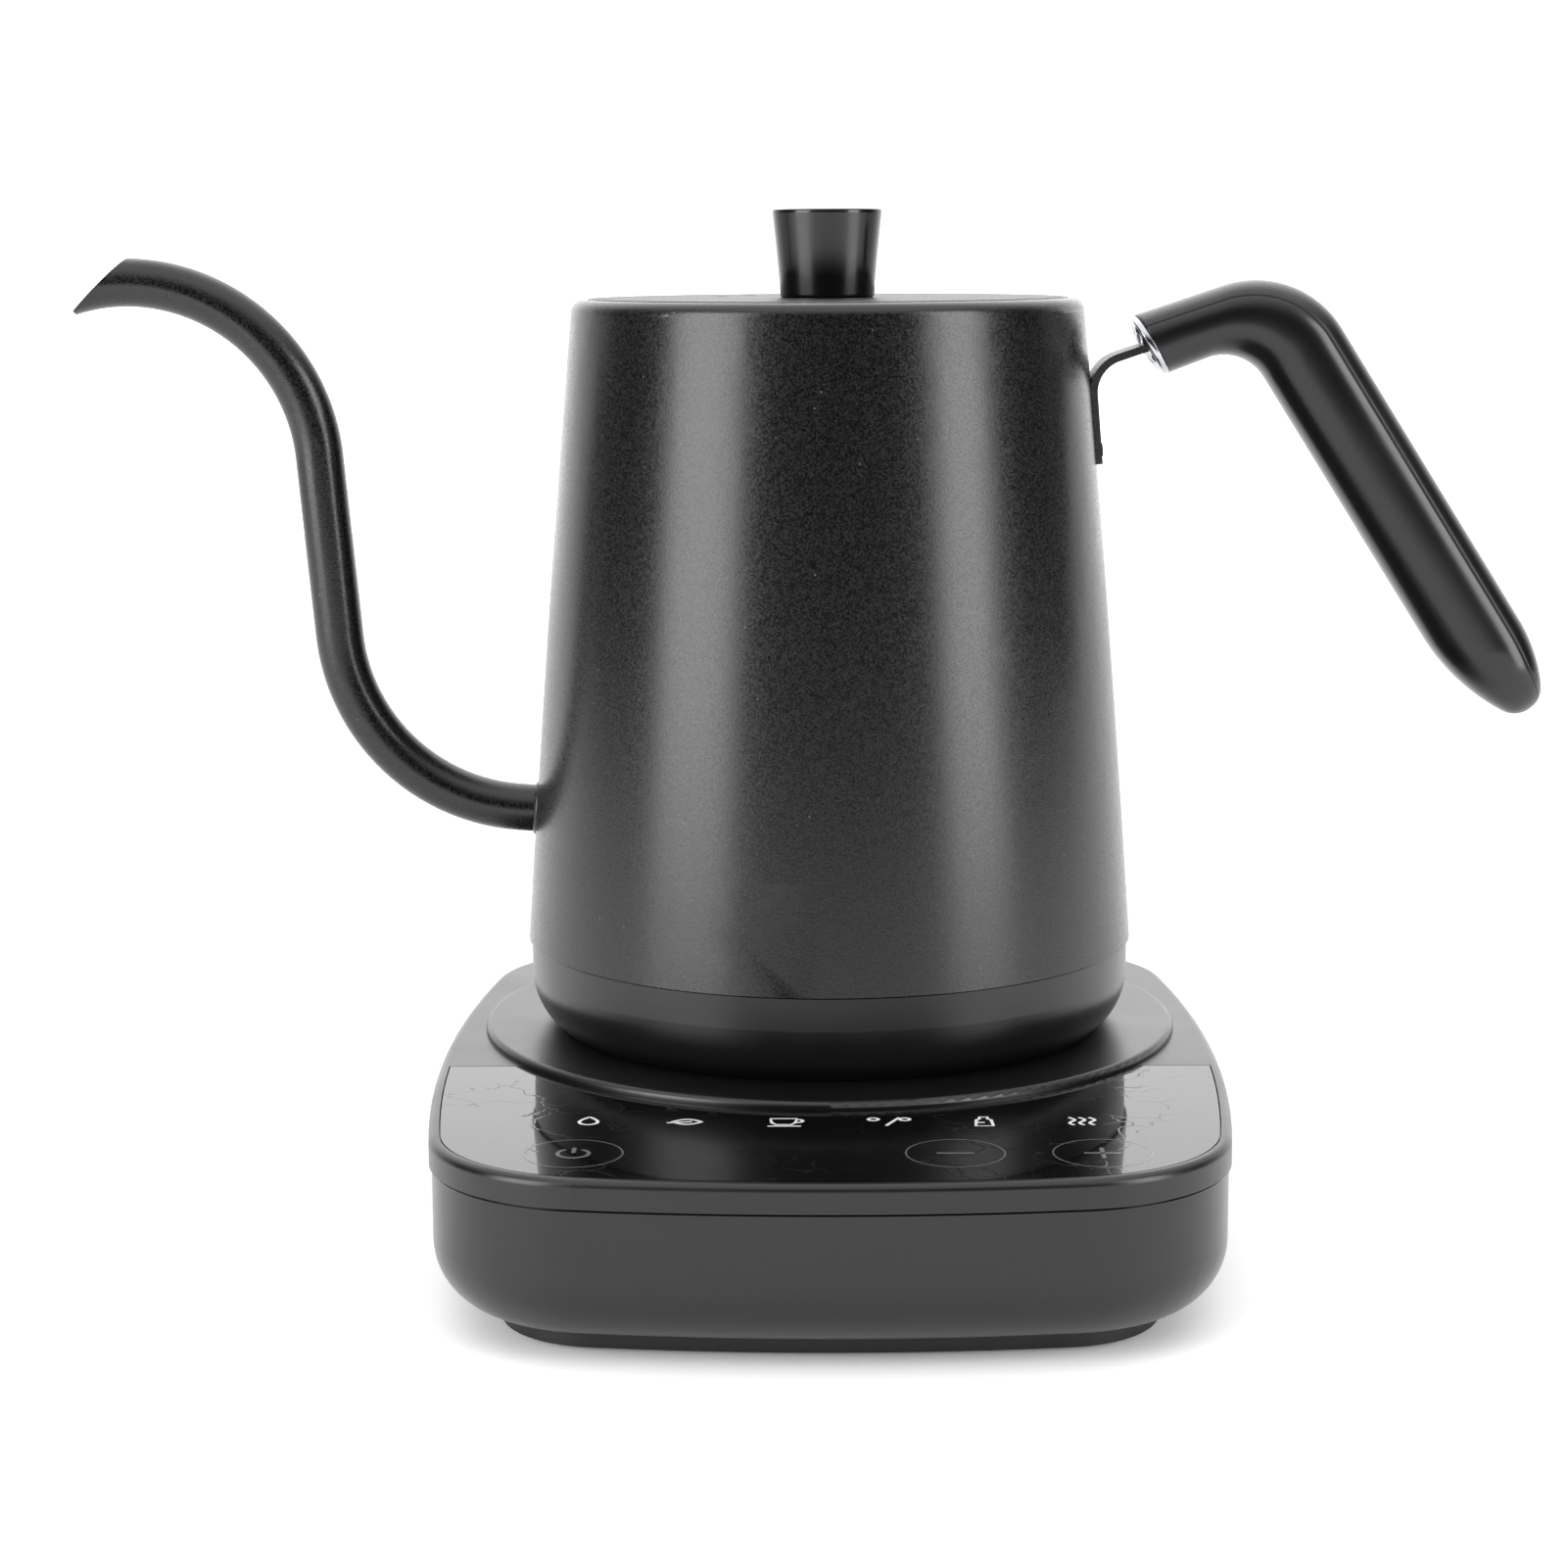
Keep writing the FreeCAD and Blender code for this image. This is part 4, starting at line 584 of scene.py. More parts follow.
@dataclass
class Palette:
    """Every finish of the object, by the record's slot that it belongs to."""

    made: dict[str, bpy.types.Material] = field(default_factory=dict)

    def build(self) -> None:
        """Makes all the materials."""
        recipes = {
            # Polyester powder on the body and spout: satin, with soft highlights and a grain.
            "powder_black": CoatedSteel(),
            # A finer, duller powder on the lid, which spreads its highlight wide.
            "lid_coat": CoatedSteel("fine_powder_coat", "#101011", "#4a4a4a", 0.4, 0.4, 0.35),
            # ABS from a lightly blasted mould: even satin highlights along every edge.
            "cover_black": MouldedPlastic("satin_black_cover_abs", "#0d0d0e", 0.31),
            # Phenolic resin, turned and polished: a deep black with narrow highlights.
            "knob_black": MouldedPlastic("polished_black_phenolic", "#060607", 0.2, 0.5, 0.02),
            "satin_black": MouldedPlastic("satin_black_abs", "#0b0b0c", 0.25),
            # Polypropylene: dull and waxy, so it stays in the shade under the base.
            "foot_black": MouldedPlastic("plain_black_polypropylene", "#0e0e0f", 0.5),
            "panel_gloss": GlossAcrylic(),
            # Moulded rubber and silicone: matt, with no clear highlight.
            "black_rubber": MouldedPlastic("soft_black_rubber", "#141414", 0.75, 0.8, 0.2),
            "silicone": MouldedPlastic("pale_silicone", "#c9c8c2", 0.55),
            # Rolled stainless steel: bright, with a blurred reflection.
            "steel": WorkedMetal("plain_stainless_steel", "#c3c4c6", 0.3),
            "dark_steel": CoatedSteel("coated_strip_steel", "#161617", "#3a3a3a", 0.36, 0.42, 0.08),
            # Chrome plate over a pressed shape: mirror-bright flecks beside dark ones.
            "cap_chrome": WorkedMetal("polished_chrome_plate", "#b4b6ba", 0.16, 2.4, 1.0, 0.9),
            "heater_metal": WorkedMetal("bare_aluminium", "#b9babb", 0.45),
            "contact_brass": WorkedMetal("plain_brass", "#c9a45c", 0.28),
            # Solder mask and moulded component cases: plain semi-gloss plastics.
            "board_green": MouldedPlastic("green_solder_mask", "#1d5a33", 0.35),
            "component_black": MouldedPlastic("black_component_resin", "#161616", 0.5),
            "component_pale": MouldedPlastic("pale_component_resin", "#b5b5ae", 0.5),
            "can_metal": WorkedMetal("can_aluminium", "#b8babd", 0.25),
            "ink": PrintedInk("pale_panel_ink", "#d9dadb", 0.25),
            "faint_ink": PrintedInk("faint_panel_ink", "#646567", 0.03),
        }
        self.made = {key: recipe.material() for key, recipe in recipes.items()}

    def __getitem__(self, key: str) -> bpy.types.Material:
        """The material of one slot."""
        return self.made[key]


# ---- sub-assemblies ----


@dataclass
class Piece:
    """One new piece of the visual model and where it belongs."""

    thing: bpy.types.Object
    body: str
    slot: str
    replaces: tuple[str, ...] = ()

    def settle(self, palette: Palette, finish: str | None = None) -> None:
        """Dresses the piece, hangs it on its body's empty and hides the CAD nodes it stands for.

        Args:
            palette: every finish.
            finish: the finish to use, if not the slot's own.
        """
        dress(self.thing, palette[finish or self.slot])
        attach(self.thing, self.body)
        if self.replaces:
            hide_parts(*self.replaces)
        LOG.info("%s: %d faces on %s", self.thing.name, len(self.thing.data.polygons), self.body)


def stroke(points: np.ndarray, width: float, closed: bool) -> tuple[np.ndarray, np.ndarray]:
    """A flat ribbon along a line in the plane: each point moved half the width to both sides.

    Args:
        points: the line, in millimetres.
        width: the ribbon's width.
        closed: whether the line closes on itself.

    Returns:
        The ribbon's points and faces.
    """
    if closed:
        ahead = np.roll(points, -1, axis=0) - np.roll(points, 1, axis=0)
    else:
        ahead = np.gradient(points, axis=0)
    ahead = ahead / np.maximum(np.linalg.norm(ahead, axis=1, keepdims=True), 1e-9)
    side = np.stack([-ahead[:, 1], ahead[:, 0]], axis=1) * width / 2
    both = np.stack([points + side, points - side], axis=1).reshape(-1, 2)
    faces = grid_faces(len(points), 2, closed, False)[:, ::-1]
    return both, faces


class Sign(Enum):
    """Generic signs printed under the panel."""

    DROP = "drop"
    LEAF = "leaf"
    CUP = "cup"
    DEGREE = "degree"
    BOTTLE = "bottle"
    STEAM = "steam"
    POWER = "power"
    MINUS = "minus"
    PLUS = "plus"

    def strokes(self) -> list[tuple[np.ndarray, bool]]:
        """The sign's lines, in a box about one unit high.

        Returns:
            Each line's points and whether it is closed.
        """
        level = polyline((-0.5, 0), (0.5, 0))
        if self is Sign.DROP:
            t = np.linspace(0, 2 * np.pi, 40, endpoint=False)
            taper = (1 + np.sin(t)) / 2
            across = 0.32 * np.cos(t) * (1 - 0.75 * taper**2)
            return [(np.stack([across, 0.12 + 0.42 * np.sin(t)], 1), True)]
        if self is Sign.LEAF:
            u = np.linspace(0, np.pi, 16)
            upper = np.stack([-0.45 + 0.9 * u / np.pi, 0.28 * np.sin(u)], 1)
            lower = upper[::-1] * [1, -1]
            stalk = polyline((-0.6, -0.1), (0.15, 0.02))
            return [(np.vstack([upper, lower[1:-1]]), True), (stalk, False)]
        if self is Sign.CUP:
            bowl = polyline((-0.42, 0.35), (-0.38, -0.1), (-0.25, -0.32),
                            (0.2, -0.32), (0.33, -0.1), (0.37, 0.35))
            ear = arc((0.38, 0.08), 0.17, 80, -95, 12)
            saucer = polyline((-0.5, -0.48), (0.5, -0.48))
            return [(bowl, True), (ear, False), (saucer, False)]
        if self is Sign.DEGREE:
            rings = [(arc((x, 0.26), 0.15, 0, 351, 24), True) for x in (-0.32, 0.62)]
            return [rings[0], (polyline((0.05, -0.45), (0.45, 0.45)), False), rings[1]]
        if self is Sign.BOTTLE:
            body = polyline((-0.22, 0.18), (-0.26, -0.48), (0.26, -0.48), (0.22, 0.18),
                            (0.12, 0.3), (0.12, 0.5), (-0.12, 0.5), (-0.12, 0.3))
            return [(body, True), (polyline((-0.24, -0.1), (0.02, -0.1)), False)]
        if self is Sign.STEAM:
            y = np.linspace(-0.4, 0.45, 14)
            return [(np.stack([x + 0.09 * np.sin(y * 9), y], 1), False) for x in (-0.3, 0.0, 0.3)]
        if self is Sign.POWER:
            return [(arc((0, 0), 0.42, 120, 420, 30), False), (polyline((0, 0.05), (0, 0.55)), False)]
        if self is Sign.PLUS:
            return [(level, False), (polyline((0, -0.5), (0, 0.5)), False)]
        return [(level, False)]


@dataclass
class TouchPanel:
    """The signs of the touch panel: a row of programme signs and three ringed keys."""

    row_y: float = -77.0
    key_y: float = -97.3
    row_x: tuple[float, ...] = (-43.3, -25.6, -8.1, 9.8, 27.7, 45.3)
    row_signs: tuple[Sign, ...] = (Sign.DROP, Sign.LEAF, Sign.CUP, Sign.DEGREE, Sign.BOTTLE, Sign.STEAM)
    key_x: tuple[float, ...] = (-44.5, 21.8, 47.3)
    key_signs: tuple[Sign, ...] = (Sign.POWER, Sign.MINUS, Sign.PLUS)
    sign_size: float = 6.0
    key_size: float = 6.5
    ring: float = 8.6
    ring_points: int = 120
    row_line: float = 0.62
    key_line: float = 0.75
    ring_line: float = 0.28
    lift: float = 0.02

    @staticmethod
    def placed(
        sign: Sign, size: float, centre: Place, width: float
    ) -> list[tuple[np.ndarray, bool, float]]:
        """Sizes one sign and puts it in its place.

        Args:
            sign: the sign.
            size: its height in millimetres.
            centre: its place on the panel.
            width: the width of its lines.

        Returns:
            Each line's points, whether it closes and its width.
        """
        return [(points * size + centre, closed, width) for points, closed in sign.strokes()]

    def marks(self, name: str, lines: list[tuple[np.ndarray, bool, float]]) -> bpy.types.Object:
        """Joins flat strokes into one piece just over the panel.

        Args:
            name: the piece's name.
            lines: each line's points, whether it closes and its width.

        Returns:
            The new object.
        """
        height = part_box("touch_panel")[1][2] / MM + self.lift
        points, faces, count = [], [], 0
        for line, closed, width in lines:
            flat, quads = stroke(line, width, closed)
            points.append(np.column_stack([flat, np.full(len(flat), height)]))
            faces.append(quads + count)
            count += len(flat)
        return make_object(name, np.vstack(points) * MM, np.vstack(faces))

    def build(self, palette: Palette) -> None:
        """Prints the programme signs in one piece and the ringed keys in another.

        Args:
            palette: every finish.
        """
        bright = []
        for x, sign in zip(self.row_x, self.row_signs):
            bright += self.placed(sign, self.sign_size, (x, self.row_y), self.row_line)
        row = self.marks("programme_signs", bright)
        Piece(row, "base", "panel_gloss").settle(palette, "ink")
        dim = []
        for x, sign in zip(self.key_x, self.key_signs):
            centre = (x, self.key_y)
            dim.append((arc(centre, self.ring, 0, 357, self.ring_points), True, self.ring_line))
            dim += self.placed(sign, self.key_size, centre, self.key_line)
        keys = self.marks("key_signs", dim)
        Piece(keys, "base", "panel_gloss").settle(palette, "faint_ink")


@dataclass
class HandleGrip:
    """The handle: a rounded bar that leaves its cap, bends down and ends in a soft nose.

    Places are in the plane of the axis, in millimetres from it and above the seam.
    """

    corner: Place = (91.95, 133.2)
    top_tilt: float = 18.35
    top_length: float = 33.6
    low_start: Place = (66.7, 111.35)
    low_corner: Place = (81.32, 116.87)
    grip_tilt: float = 32.4
    outer_length: float = 83.2
    inner_length: float = 68.6
    outer_bend: float = 20.0
    inner_bend: float = 9.5
    tip_outer: float = 32.8
    tip_nose: float = 5.1
    tip_inner: float = 41.9
    half_width: float = 9.2
    squareness: float = 2.35
    parting: float = 0.6
    groove_depth: float = 0.03
    groove_width: float = 0.02
    nose_length: float = 11.0
    slim_share: float = 0.9
    full_gain: float = 0.1
    slim_half: float = 6.3
    slim_span: float = 2.5
    run_points: int = 24
    bend_points: int = 28
    grip_points: int = 60
    nose_points: int = 16
    round_points: int = 88
    line_points: int = 11
    line_reach: float = 0.05

    def side_line(
        self, corner: Place, tilt: float, length: float, bend: float, reach: float
    ) -> tuple[np.ndarray, np.ndarray]:
        """One side of the bar: a straight run, an arc that touches both straights, and the grip.

        Args:
            corner: where the two straights would meet.
            tilt: the run's rise in degrees.
            length: the run's length to the corner.
            bend: the arc's radius.
            reach: the grip's length from the corner.

        Returns:
            The line's points, and the grip's end, which isn't one of them.
        """
        g, t = math.radians(self.grip_tilt), math.radians(tilt)
        down = np.array([math.sin(g), -math.cos(g)])
        along = np.array([math.cos(t), math.sin(t)])
        cut = bend * math.tan(math.radians(90 - self.grip_tilt + tilt) / 2)
        meet = np.array(corner)
        start, end = meet - along * length, meet + down * reach
        first, last = meet - along * cut, meet + down * cut
        centre = first + np.array([along[1], -along[0]]) * bend
        run = start + (first - start) * np.linspace(0, 1, self.run_points, endpoint=False)[:, None]
        bow = arc(tuple(centre), bend, tilt + 90, self.grip_tilt, self.bend_points)[:-1]
        grip = last + (end - last) * np.linspace(0, 1, self.grip_points, endpoint=False)[:, None]
        return np.vstack([run, bow, grip]), end

    def tips(self, outer_end: np.ndarray, inner_end: np.ndarray) -> tuple[np.ndarray, np.ndarray]:
        """The arcs of the bar's end on both sides, which meet at its nose.

        The nose arc touches the outer and the inner end arcs, so its centre is where circles of
        radius R - r about their centres meet.

        Args:
            outer_end: the end of the outer straight.
            inner_end: the end of the inner straight.

        Returns:
            The outer and the inner points.
        """
        g = math.radians(self.grip_tilt)
        inward = np.array([-math.cos(g), -math.sin(g)])
        c1 = outer_end + inward * self.tip_outer
        c2 = inner_end - inward * self.tip_inner
        r1, r2 = self.tip_outer - self.tip_nose, self.tip_inner - self.tip_nose
        gap = c2 - c1
        span = float(np.hypot(*gap))
        along = (r1**2 - r2**2 + span**2) / (2 * span)
        across = math.sqrt(max(r1**2 - along**2, 0.0))
        unit = gap / span
        nose = c1 + unit * along + np.array([unit[1], -unit[0]]) * across
        middle = heading(nose - (outer_end + inner_end) / 2)
        sides = []
        for centre, radius, start in ((c1, self.tip_outer, self.grip_tilt),
                                      (c2, self.tip_inner, self.grip_tilt - 180)):
            aim = heading(nose - centre)
            sides.append(np.vstack([
                arc(tuple(centre), radius, start, aim, self.bend_points)[:-1],
                arc(tuple(nose), self.tip_nose, aim, middle, self.nose_points)]))
        return sides[0], sides[1]

    def outlines(self) -> tuple[np.ndarray, np.ndarray]:
        """The outer and inner side lines, point by point in step.

        Returns:
            Outer and inner points in the XZ plane, in millimetres above the table.
        """
        ahead = np.array(self.low_corner) - np.array(self.low_start)
        outer, outer_end = self.side_line(
            self.corner, self.top_tilt, self.top_length, self.outer_bend, self.outer_length)
        inner, inner_end = self.side_line(
            self.low_corner, heading(ahead), float(np.hypot(*ahead)), self.inner_bend, self.inner_length)
        outer_tip, inner_tip = self.tips(outer_end, inner_end)
        lift = np.array([0, SEAM])
        return np.vstack([outer, outer_tip]) + lift, np.vstack([inner, inner_tip]) + lift

    def surface(self) -> bpy.types.Object:
        """Sweeps a superellipse between the two side lines.

        With C the middle and h half the distance between the lines, the point at angle a is
        C + h sgn(cos a) |cos a|^(2/n) across and w sgn(sin a) |sin a|^(2/n) sideways. The half
        width w falls to nothing over the end as the square root of the distance left.

        Returns:
            The closed grip.
        """
        outer, inner = self.outlines()
        middle, half = (outer + inner) / 2, (outer - inner) / 2
        reach = np.concatenate([[0], np.cumsum(np.hypot(*np.diff(middle, axis=0).T))])
        left = np.clip((reach[-1] - reach) / self.nose_length, 0, 1)
        thick = np.hypot(half[:, 0], half[:, 1])
        width = self.half_width * np.minimum(1.0, np.sqrt(np.clip(1 - (1 - left) ** 2, 0, 1)))
        fullness = np.clip((thick - self.slim_half) / self.slim_span, 0, 1)
        width = width * (self.slim_share + self.full_gain * fullness)
        # Extra points stand close on both sides of the parting line.
        line = math.acos(self.parting ** (self.squareness / 2))
        close = line + np.linspace(-self.line_reach, self.line_reach, self.line_points)
        even = np.linspace(0, 2 * np.pi, self.round_points, endpoint=False)
        c, s = superellipse(np.unique(np.concatenate([even, close, 2 * np.pi - close])), self.squareness)
        # The mould's parting line is a hair-fine groove a quarter of the way in from the outer side.
        groove = 1 - self.groove_depth * np.exp(-(((c - self.parting) / self.groove_width) ** 2))
        x = middle[:, 0:1] + half[:, 0:1] * c
        z = middle[:, 1:2] + half[:, 1:2] * c
        y = width[:, None] * s * groove
        rings = np.stack([x, y, z], axis=-1)
        # The start is closed by shrinking copies of the first ring onto the cap's plane.
        centre = rings[0].mean(axis=0)
        caps = [centre + (rings[0] - centre) * f for f in (0.02, 0.5, 0.9, 0.985)]
        rings = np.concatenate([np.stack(caps), rings[:-1]])
        tail = np.array([middle[-1, 0], 0.0, middle[-1, 1]])
        return capped_tube("handle_grip_skin", rings, centre, tail)

    def build(self, palette: Palette) -> None:
        """Makes the grip's skin, which stands for the CAD grip.

        Args:
            palette: every finish.
        """
        Piece(self.surface(), "kettle", "satin_black", ("handle_grip",)).settle(palette)


@dataclass
class HandleCap:
    """The plated cap on the handle's end: a stepped rim and a pillowed face with a pressed pattern."""

    top: Place = (58.78, 122.04)
    low: Place = (65.5, 110.8)
    run_tilt: float = 18.6
    depth: float = 1.35
    half_width: float = 9.2
    squareness: float = 2.4
    bulge: float = 0.75
    flutes: int = 9
    around: int = 120

    def build(self, palette: Palette) -> None:
        """Makes the cap as rings of a superellipse.

        Ring k is C + f_k (h cos' a, w sin' a) moved out by d_k, where cos' and sin' are the
        superellipse's and the steps d_k give a rounded rim, a groove and a bulging face. The
        face's pressed flutes add p cos(9a) halfway in.

        Args:
            palette: every finish.
        """
        top, low = np.array(self.top), np.array(self.low)
        middle, across = (top + low) / 2 + [0, SEAM], (top - low) / 2
        t = math.radians(self.run_tilt)
        out = -np.array([math.cos(t), math.sin(t)])
        a = np.linspace(0, 2 * np.pi, self.around, endpoint=False)
        c, s = superellipse(a, self.squareness)
        # Share of the outline, step outwards in millimetres and height of the flutes of each ring.
        rings = np.array([
            (0.02, -self.depth, 0.0), (0.9, -self.depth, 0.0), (0.995, -self.depth + 0.05, 0.0),
            (1.0, -self.depth + 0.15, 0.0), (1.0, -0.35, 0.0), (0.985, -0.12, 0.0), (0.95, 0.0, 0.0),
            (0.89, 0.0, 0.0), (0.865, -0.28, 0.0), (0.84, -0.3, 0.0), (0.81, 0.1, 0.05),
            (0.7, 0.28, 0.16), (0.55, 0.45, 0.2), (0.36, 0.6, 0.12),
            (0.18, self.bulge - 0.05, 0.03), (0.02, self.bulge, 0.0),
        ])
        share = rings[:, 0:1]
        step = rings[:, 1:2] + np.cos(self.flutes * a)[None, :] * rings[:, 2:3]
        x = middle[0] + share * across[0] * c + out[0] * step
        z = middle[1] + share * across[1] * c + out[1] * step
        y = share * self.half_width * s
        points = np.stack([x, y, z], axis=-1)
        start, end = points[[0, -1]].mean(axis=1)
        thing = capped_tube("handle_cap_plated", points, start, end)
        Piece(thing, "kettle", "cap_chrome", ("handle_cap",)).settle(palette)


@dataclass
class LidKnob:
    """The tapered knob, turned in a lathe: a soft top edge round a barely dished top."""

    foot_radius: float = 9.2
    top_radius: float = 10.77
    edge: float = 0.45
    dish: float = 0.34965
    even_taper: float = 0.85
    late_taper: float = 0.15
    foot_edge: float = 0.3
    foot_inset: float = 0.4
    top_start: float = 0.96
    pole: float = 0.02

    def build(self, palette: Palette) -> None:
        """Turns the knob's outline; its side narrows a little faster near the foot.

        Args:
            palette: every finish.
        """
        foot, high = (corner[2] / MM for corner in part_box("lid_knob"))
        brow = high - self.edge
        u = np.linspace(0, 1, 40)
        taper = self.even_taper * u + self.late_taper * u**2
        radius = self.foot_radius + (self.top_radius - self.foot_radius) * taper
        side = np.stack([radius, foot + self.foot_edge + (brow - foot - self.foot_edge) * u], axis=1)
        flat = self.top_radius - self.edge
        corner = arc((flat, brow), self.edge, 0, 90, 8)[1:]
        v = np.linspace(self.top_start, self.pole, 16)
        top = np.stack([flat * v, high - self.dish * (1 - v**4)], axis=1)
        bottom = polyline((self.pole, foot), (self.foot_radius - self.foot_inset, foot),
                          (self.foot_radius, foot + self.foot_edge))
        profile = np.vstack([bottom, side[1:], corner, top])
        thing = lathe("lid_knob_turned", profile)
        outward(thing)
        Piece(thing, "lid", "satin_black", ("lid_knob",)).settle(palette, "knob_black")


@dataclass
class SpoutWeld:
    """The smooth bead where the spout is welded to the steel body."""

    exit_rise: float = 25.15
    exit_tilt: float = 4.2
    tube: float = 4.75
    foot_radius: float = 60.3
    top_radius: float = 50.2
    rise: float = 123.5
    bead: float = 0.75
    around: int = 96
    bead_points: int = 16

    def build(self, palette: Palette) -> None:
        """Runs a round bead along the line where the tube meets the body.

        The tube's side at angle t lies at y = r cos t and at r sin t over its axis, and meets the
        body at x = -sqrt(R(z)^2 - y^2), with R falling evenly with z.

        Args:
            palette: every finish.
        """
        t = np.linspace(0, 2 * np.pi, self.around, endpoint=False)
        y = self.tube * np.cos(t)
        z = self.exit_rise + self.tube * np.sin(t) / math.cos(math.radians(self.exit_tilt))
        body = self.foot_radius - (self.foot_radius - self.top_radius) * z / self.rise
        x = -np.sqrt(body**2 - y**2)
        line = np.stack([x, y, z + SEAM], axis=1)
        away = np.stack([np.zeros_like(t), np.cos(t), np.sin(t)], axis=1)
        ahead = np.array([-1.0, 0.0, math.sin(math.radians(self.exit_tilt))])
        q = np.linspace(0, 2 * np.pi, self.bead_points, endpoint=False)[None, :, None]
        ring = line[:, None] + self.bead * (np.cos(q) * away[:, None] + np.sin(q) * ahead)
        faces = grid_faces(self.around, self.bead_points, True, True)
        thing = make_object("spout_weld_bead", ring.reshape(-1, 3) * MM, faces)
        outward(thing)
        Piece(thing, "kettle", "powder_black").settle(palette)


@dataclass(frozen=True)
class SoftBox:
    """One soft box that faces the kettle.

    The azimuth is in degrees from the camera, positive to the right, and the elevation in degrees
    above the kettle's middle. Distance, size and height of aim are in metres, power in watts.
    """

    name: str
    azimuth: float
    elevation: float
    away: float
    size: Place
    power: float
    aim: float = 0.1

    def hang(self) -> None:
        """Adds the light, with its back axis along the line from the kettle."""
        a, e = math.radians(self.azimuth), math.radians(self.elevation)
        ray = np.array([math.sin(a) * math.cos(e), -math.cos(a) * math.cos(e), math.sin(e)])
        spot = ray * self.away
        data = bpy.data.lights.new(self.name, "AREA")
        data.shape = "RECTANGLE"
        data.size, data.size_y = self.size
        data.energy = self.power
        made = bpy.data.objects.new(self.name, data)
        z = spot / np.linalg.norm(spot)
        x = np.cross([0, 0, 1.0], z)
        x = x / np.linalg.norm(x)
        turn = Matrix(np.stack([x, np.cross(z, x), z], axis=1).tolist()).to_4x4()
        made.matrix_world = Matrix.Translation(spot + np.array([0, 0, self.aim])) @ turn
        bpy.context.scene.collection.objects.link(made)


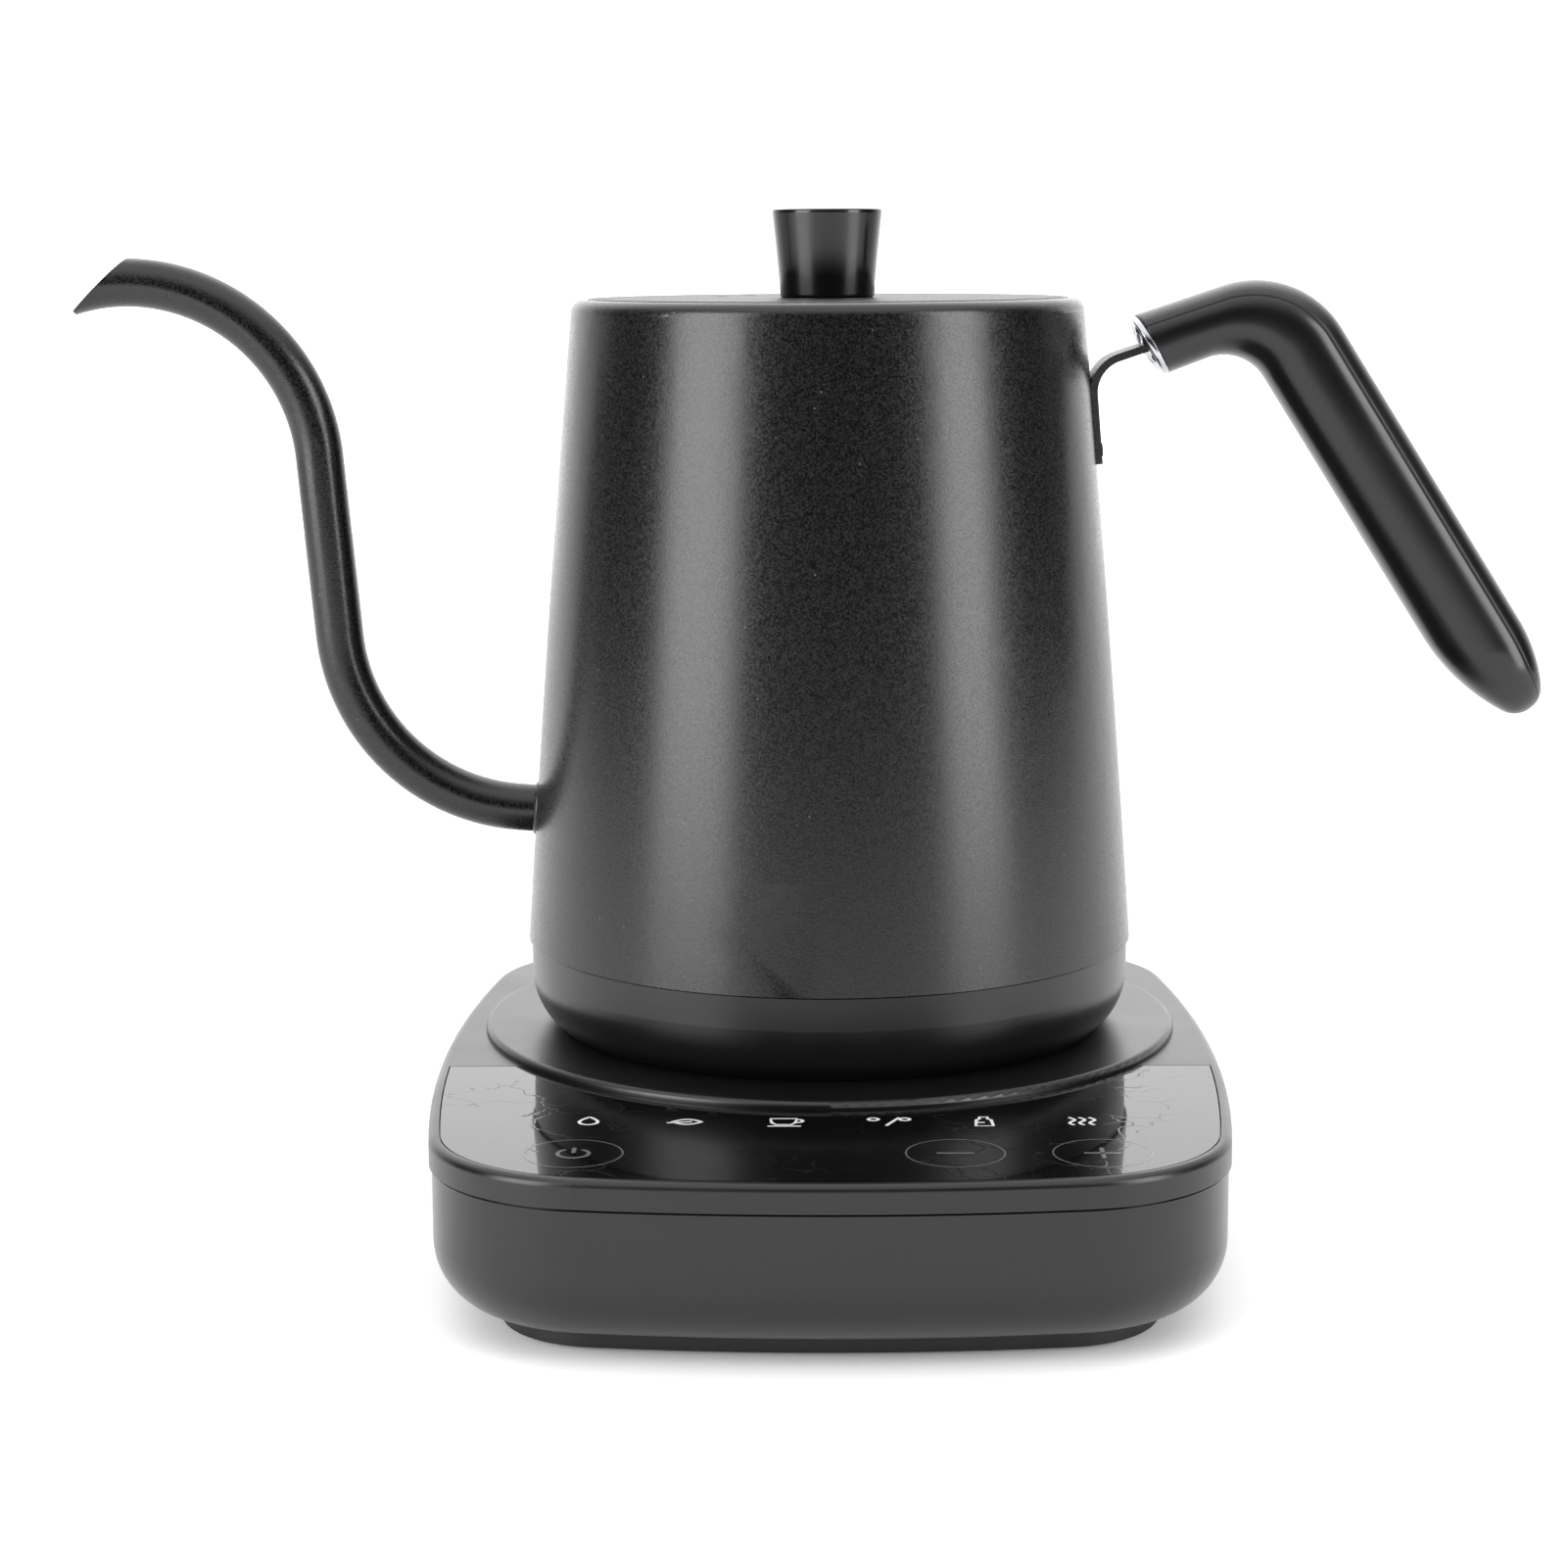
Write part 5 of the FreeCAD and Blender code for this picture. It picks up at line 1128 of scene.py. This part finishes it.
@dataclass
class Stage:
    """The pale floor, the soft lights and the camera.

    The camera's distance and its height over the seam are in millimetres, its angles in degrees.
    """

    distance: float = 640.64
    height: float = 137.68
    pitch: float = 9.555
    pan: float = -0.80
    roll: float = -0.285
    lens: float = 74.42
    sensor: float = 36.0
    farthest: float = 20.0
    floor_half: float = 1.5
    floor_lines: int = 19
    floor_glow: float = 0.12
    paper: float = 2.1
    paper_band: Place = (0.3, 0.97)
    room: float = 0.02
    ceiling: float = 1.5
    ceiling_band: Place = (0.4, 0.85)
    boxes: tuple[SoftBox, ...] = (
        SoftBox("left_box", -53, 12, 1.4, (0.8, 1.2), 21),
        SoftBox("right_box", 58, 12, 1.4, (0.6, 1.2), 15.5),
        SoftBox("top_box", 10, 86, 2.0, (3.6, 3.6), 8),
    )

    def camera(self) -> None:
        """Places the camera in front of the panel, looking slightly down."""
        p, t, r = (math.radians(v) for v in (self.pan, self.pitch, self.roll))
        ahead = np.array([math.sin(p), math.cos(p), 0.0])
        right = np.array([math.cos(p), -math.sin(p), 0.0])
        up = np.array([0.0, 0.0, 1.0])
        forward = ahead * math.cos(t) - up * math.sin(t)
        over = up * math.cos(t) + ahead * math.sin(t)
        across = right * math.cos(r) + over * math.sin(r)
        over = over * math.cos(r) - right * math.sin(r)
        turn = Matrix(np.stack([across, over, -forward], axis=1).tolist()).to_4x4()
        data = bpy.data.cameras.new("camera")
        data.lens = self.lens
        data.sensor_width = self.sensor
        data.clip_end = self.farthest
        made = bpy.data.objects.new("camera", data)
        place = (0.0, -self.distance * MM, (self.height + SEAM) * MM)
        made.matrix_world = Matrix.Translation(place) @ turn
        bpy.context.scene.collection.objects.link(made)
        bpy.context.scene.camera = made

    def floor(self) -> None:
        """Lays a large pale floor of matt paper, which gives off a little light of its own."""
        line = np.linspace(-self.floor_half, self.floor_half, self.floor_lines)
        x, y = np.meshgrid(line, line)
        grid = np.stack([x, y, np.zeros_like(x)], axis=-1)
        faces = grid_faces(self.floor_lines, self.floor_lines, False, False)[:, ::-1]
        thing = make_object("floor", grid.reshape(-1, 3), faces)
        made, _, shader = principled("matt_white_paper")
        shader.inputs["Base Color"].default_value = linear("#f4f4f4")
        shader.inputs["Roughness"].default_value = 0.9
        shader.inputs["Emission Color"].default_value = linear("#ffffff")
        shader.inputs["Emission Strength"].default_value = self.floor_glow
        dress(thing, made)

    def surround(self) -> None:
        """Lights the room: white paper behind the kettle that fades to a dark room in front of it."""
        world = bpy.data.worlds.new("studio")
        bpy.context.scene.world = world
        world.use_nodes = True
        tree = world.node_tree
        place = add_node(tree, "ShaderNodeTexCoord", {})
        parts = add_node(tree, "ShaderNodeSeparateXYZ", {}, {"Vector": place.outputs["Generated"]})
        behind = add_node(tree, "ShaderNodeMapRange",
                          {"From Min": self.paper_band[0], "From Max": self.paper_band[1],
                           "To Min": self.room, "To Max": self.paper},
                          {"Value": parts.outputs["Y"]})
        above = add_node(tree, "ShaderNodeMapRange",
                         {"From Min": self.ceiling_band[0], "From Max": self.ceiling_band[1],
                          "To Min": 0.0, "To Max": self.ceiling},
                         {"Value": parts.outputs["Z"]})
        total = add_node(tree, "ShaderNodeMath", {"operation": "ADD"},
                         {0: behind.outputs["Result"], 1: above.outputs["Result"]})
        # The paper is seen all round, so the kettle stands on white from every side.
        sight = add_node(tree, "ShaderNodeLightPath", {})
        seen = add_node(tree, "ShaderNodeMath", {"operation": "MULTIPLY", 1: self.paper},
                        {0: sight.outputs["Is Camera Ray"]})
        both = add_node(tree, "ShaderNodeMath", {"operation": "MAXIMUM"},
                        {0: total.outputs["Value"], 1: seen.outputs["Value"]})
        tree.links.new(both.outputs["Value"], tree.nodes["Background"].inputs["Strength"])
        tree.nodes["Background"].inputs["Color"].default_value = (1.0, 1.0, 1.0, 1.0)

    def build(self) -> None:
        """Sets the stage."""
        self.camera()
        self.floor()
        for box in self.boxes:
            box.hang()
        self.surround()
        bpy.context.scene.view_settings.view_transform = "Standard"


@dataclass
class Kettle:
    """The whole object: the carried-over nodes and the new pieces."""

    palette: Palette = field(default_factory=Palette)
    own_finish: dict[str, str] = field(default_factory=lambda: {
        "lid_disc": "lid_coat", "top_cover": "cover_black", "platform_plate": "cover_black",
        "kettle_collar": "cover_black", "lid_knob": "knob_black"})

    def dress_nodes(self) -> None:
        """Gives every carried-over node the finish of its slot."""
        slots = {entry["node"]: entry["material_slot"] for entry in frame["record"]["subparts"]}
        for name, thing in frame["nodes"].items():
            dress(thing, self.palette[self.own_finish.get(name, slots[name])])
            LOG.info("%s: %s", name, slots[name])

    def build(self) -> None:
        """Builds and dresses everything."""
        self.palette.build()
        self.dress_nodes()
        SpoutWeld().build(self.palette)
        HandleGrip().build(self.palette)
        HandleCap().build(self.palette)
        LidKnob().build(self.palette)
        TouchPanel().build(self.palette)


def main() -> None:
    """Builds the stage and the kettle."""
    logging.basicConfig(level=logging.INFO, format="%(name)s: %(message)s")
    Stage().build()
    Kettle().build()


if __name__ == "__main__":
    main()
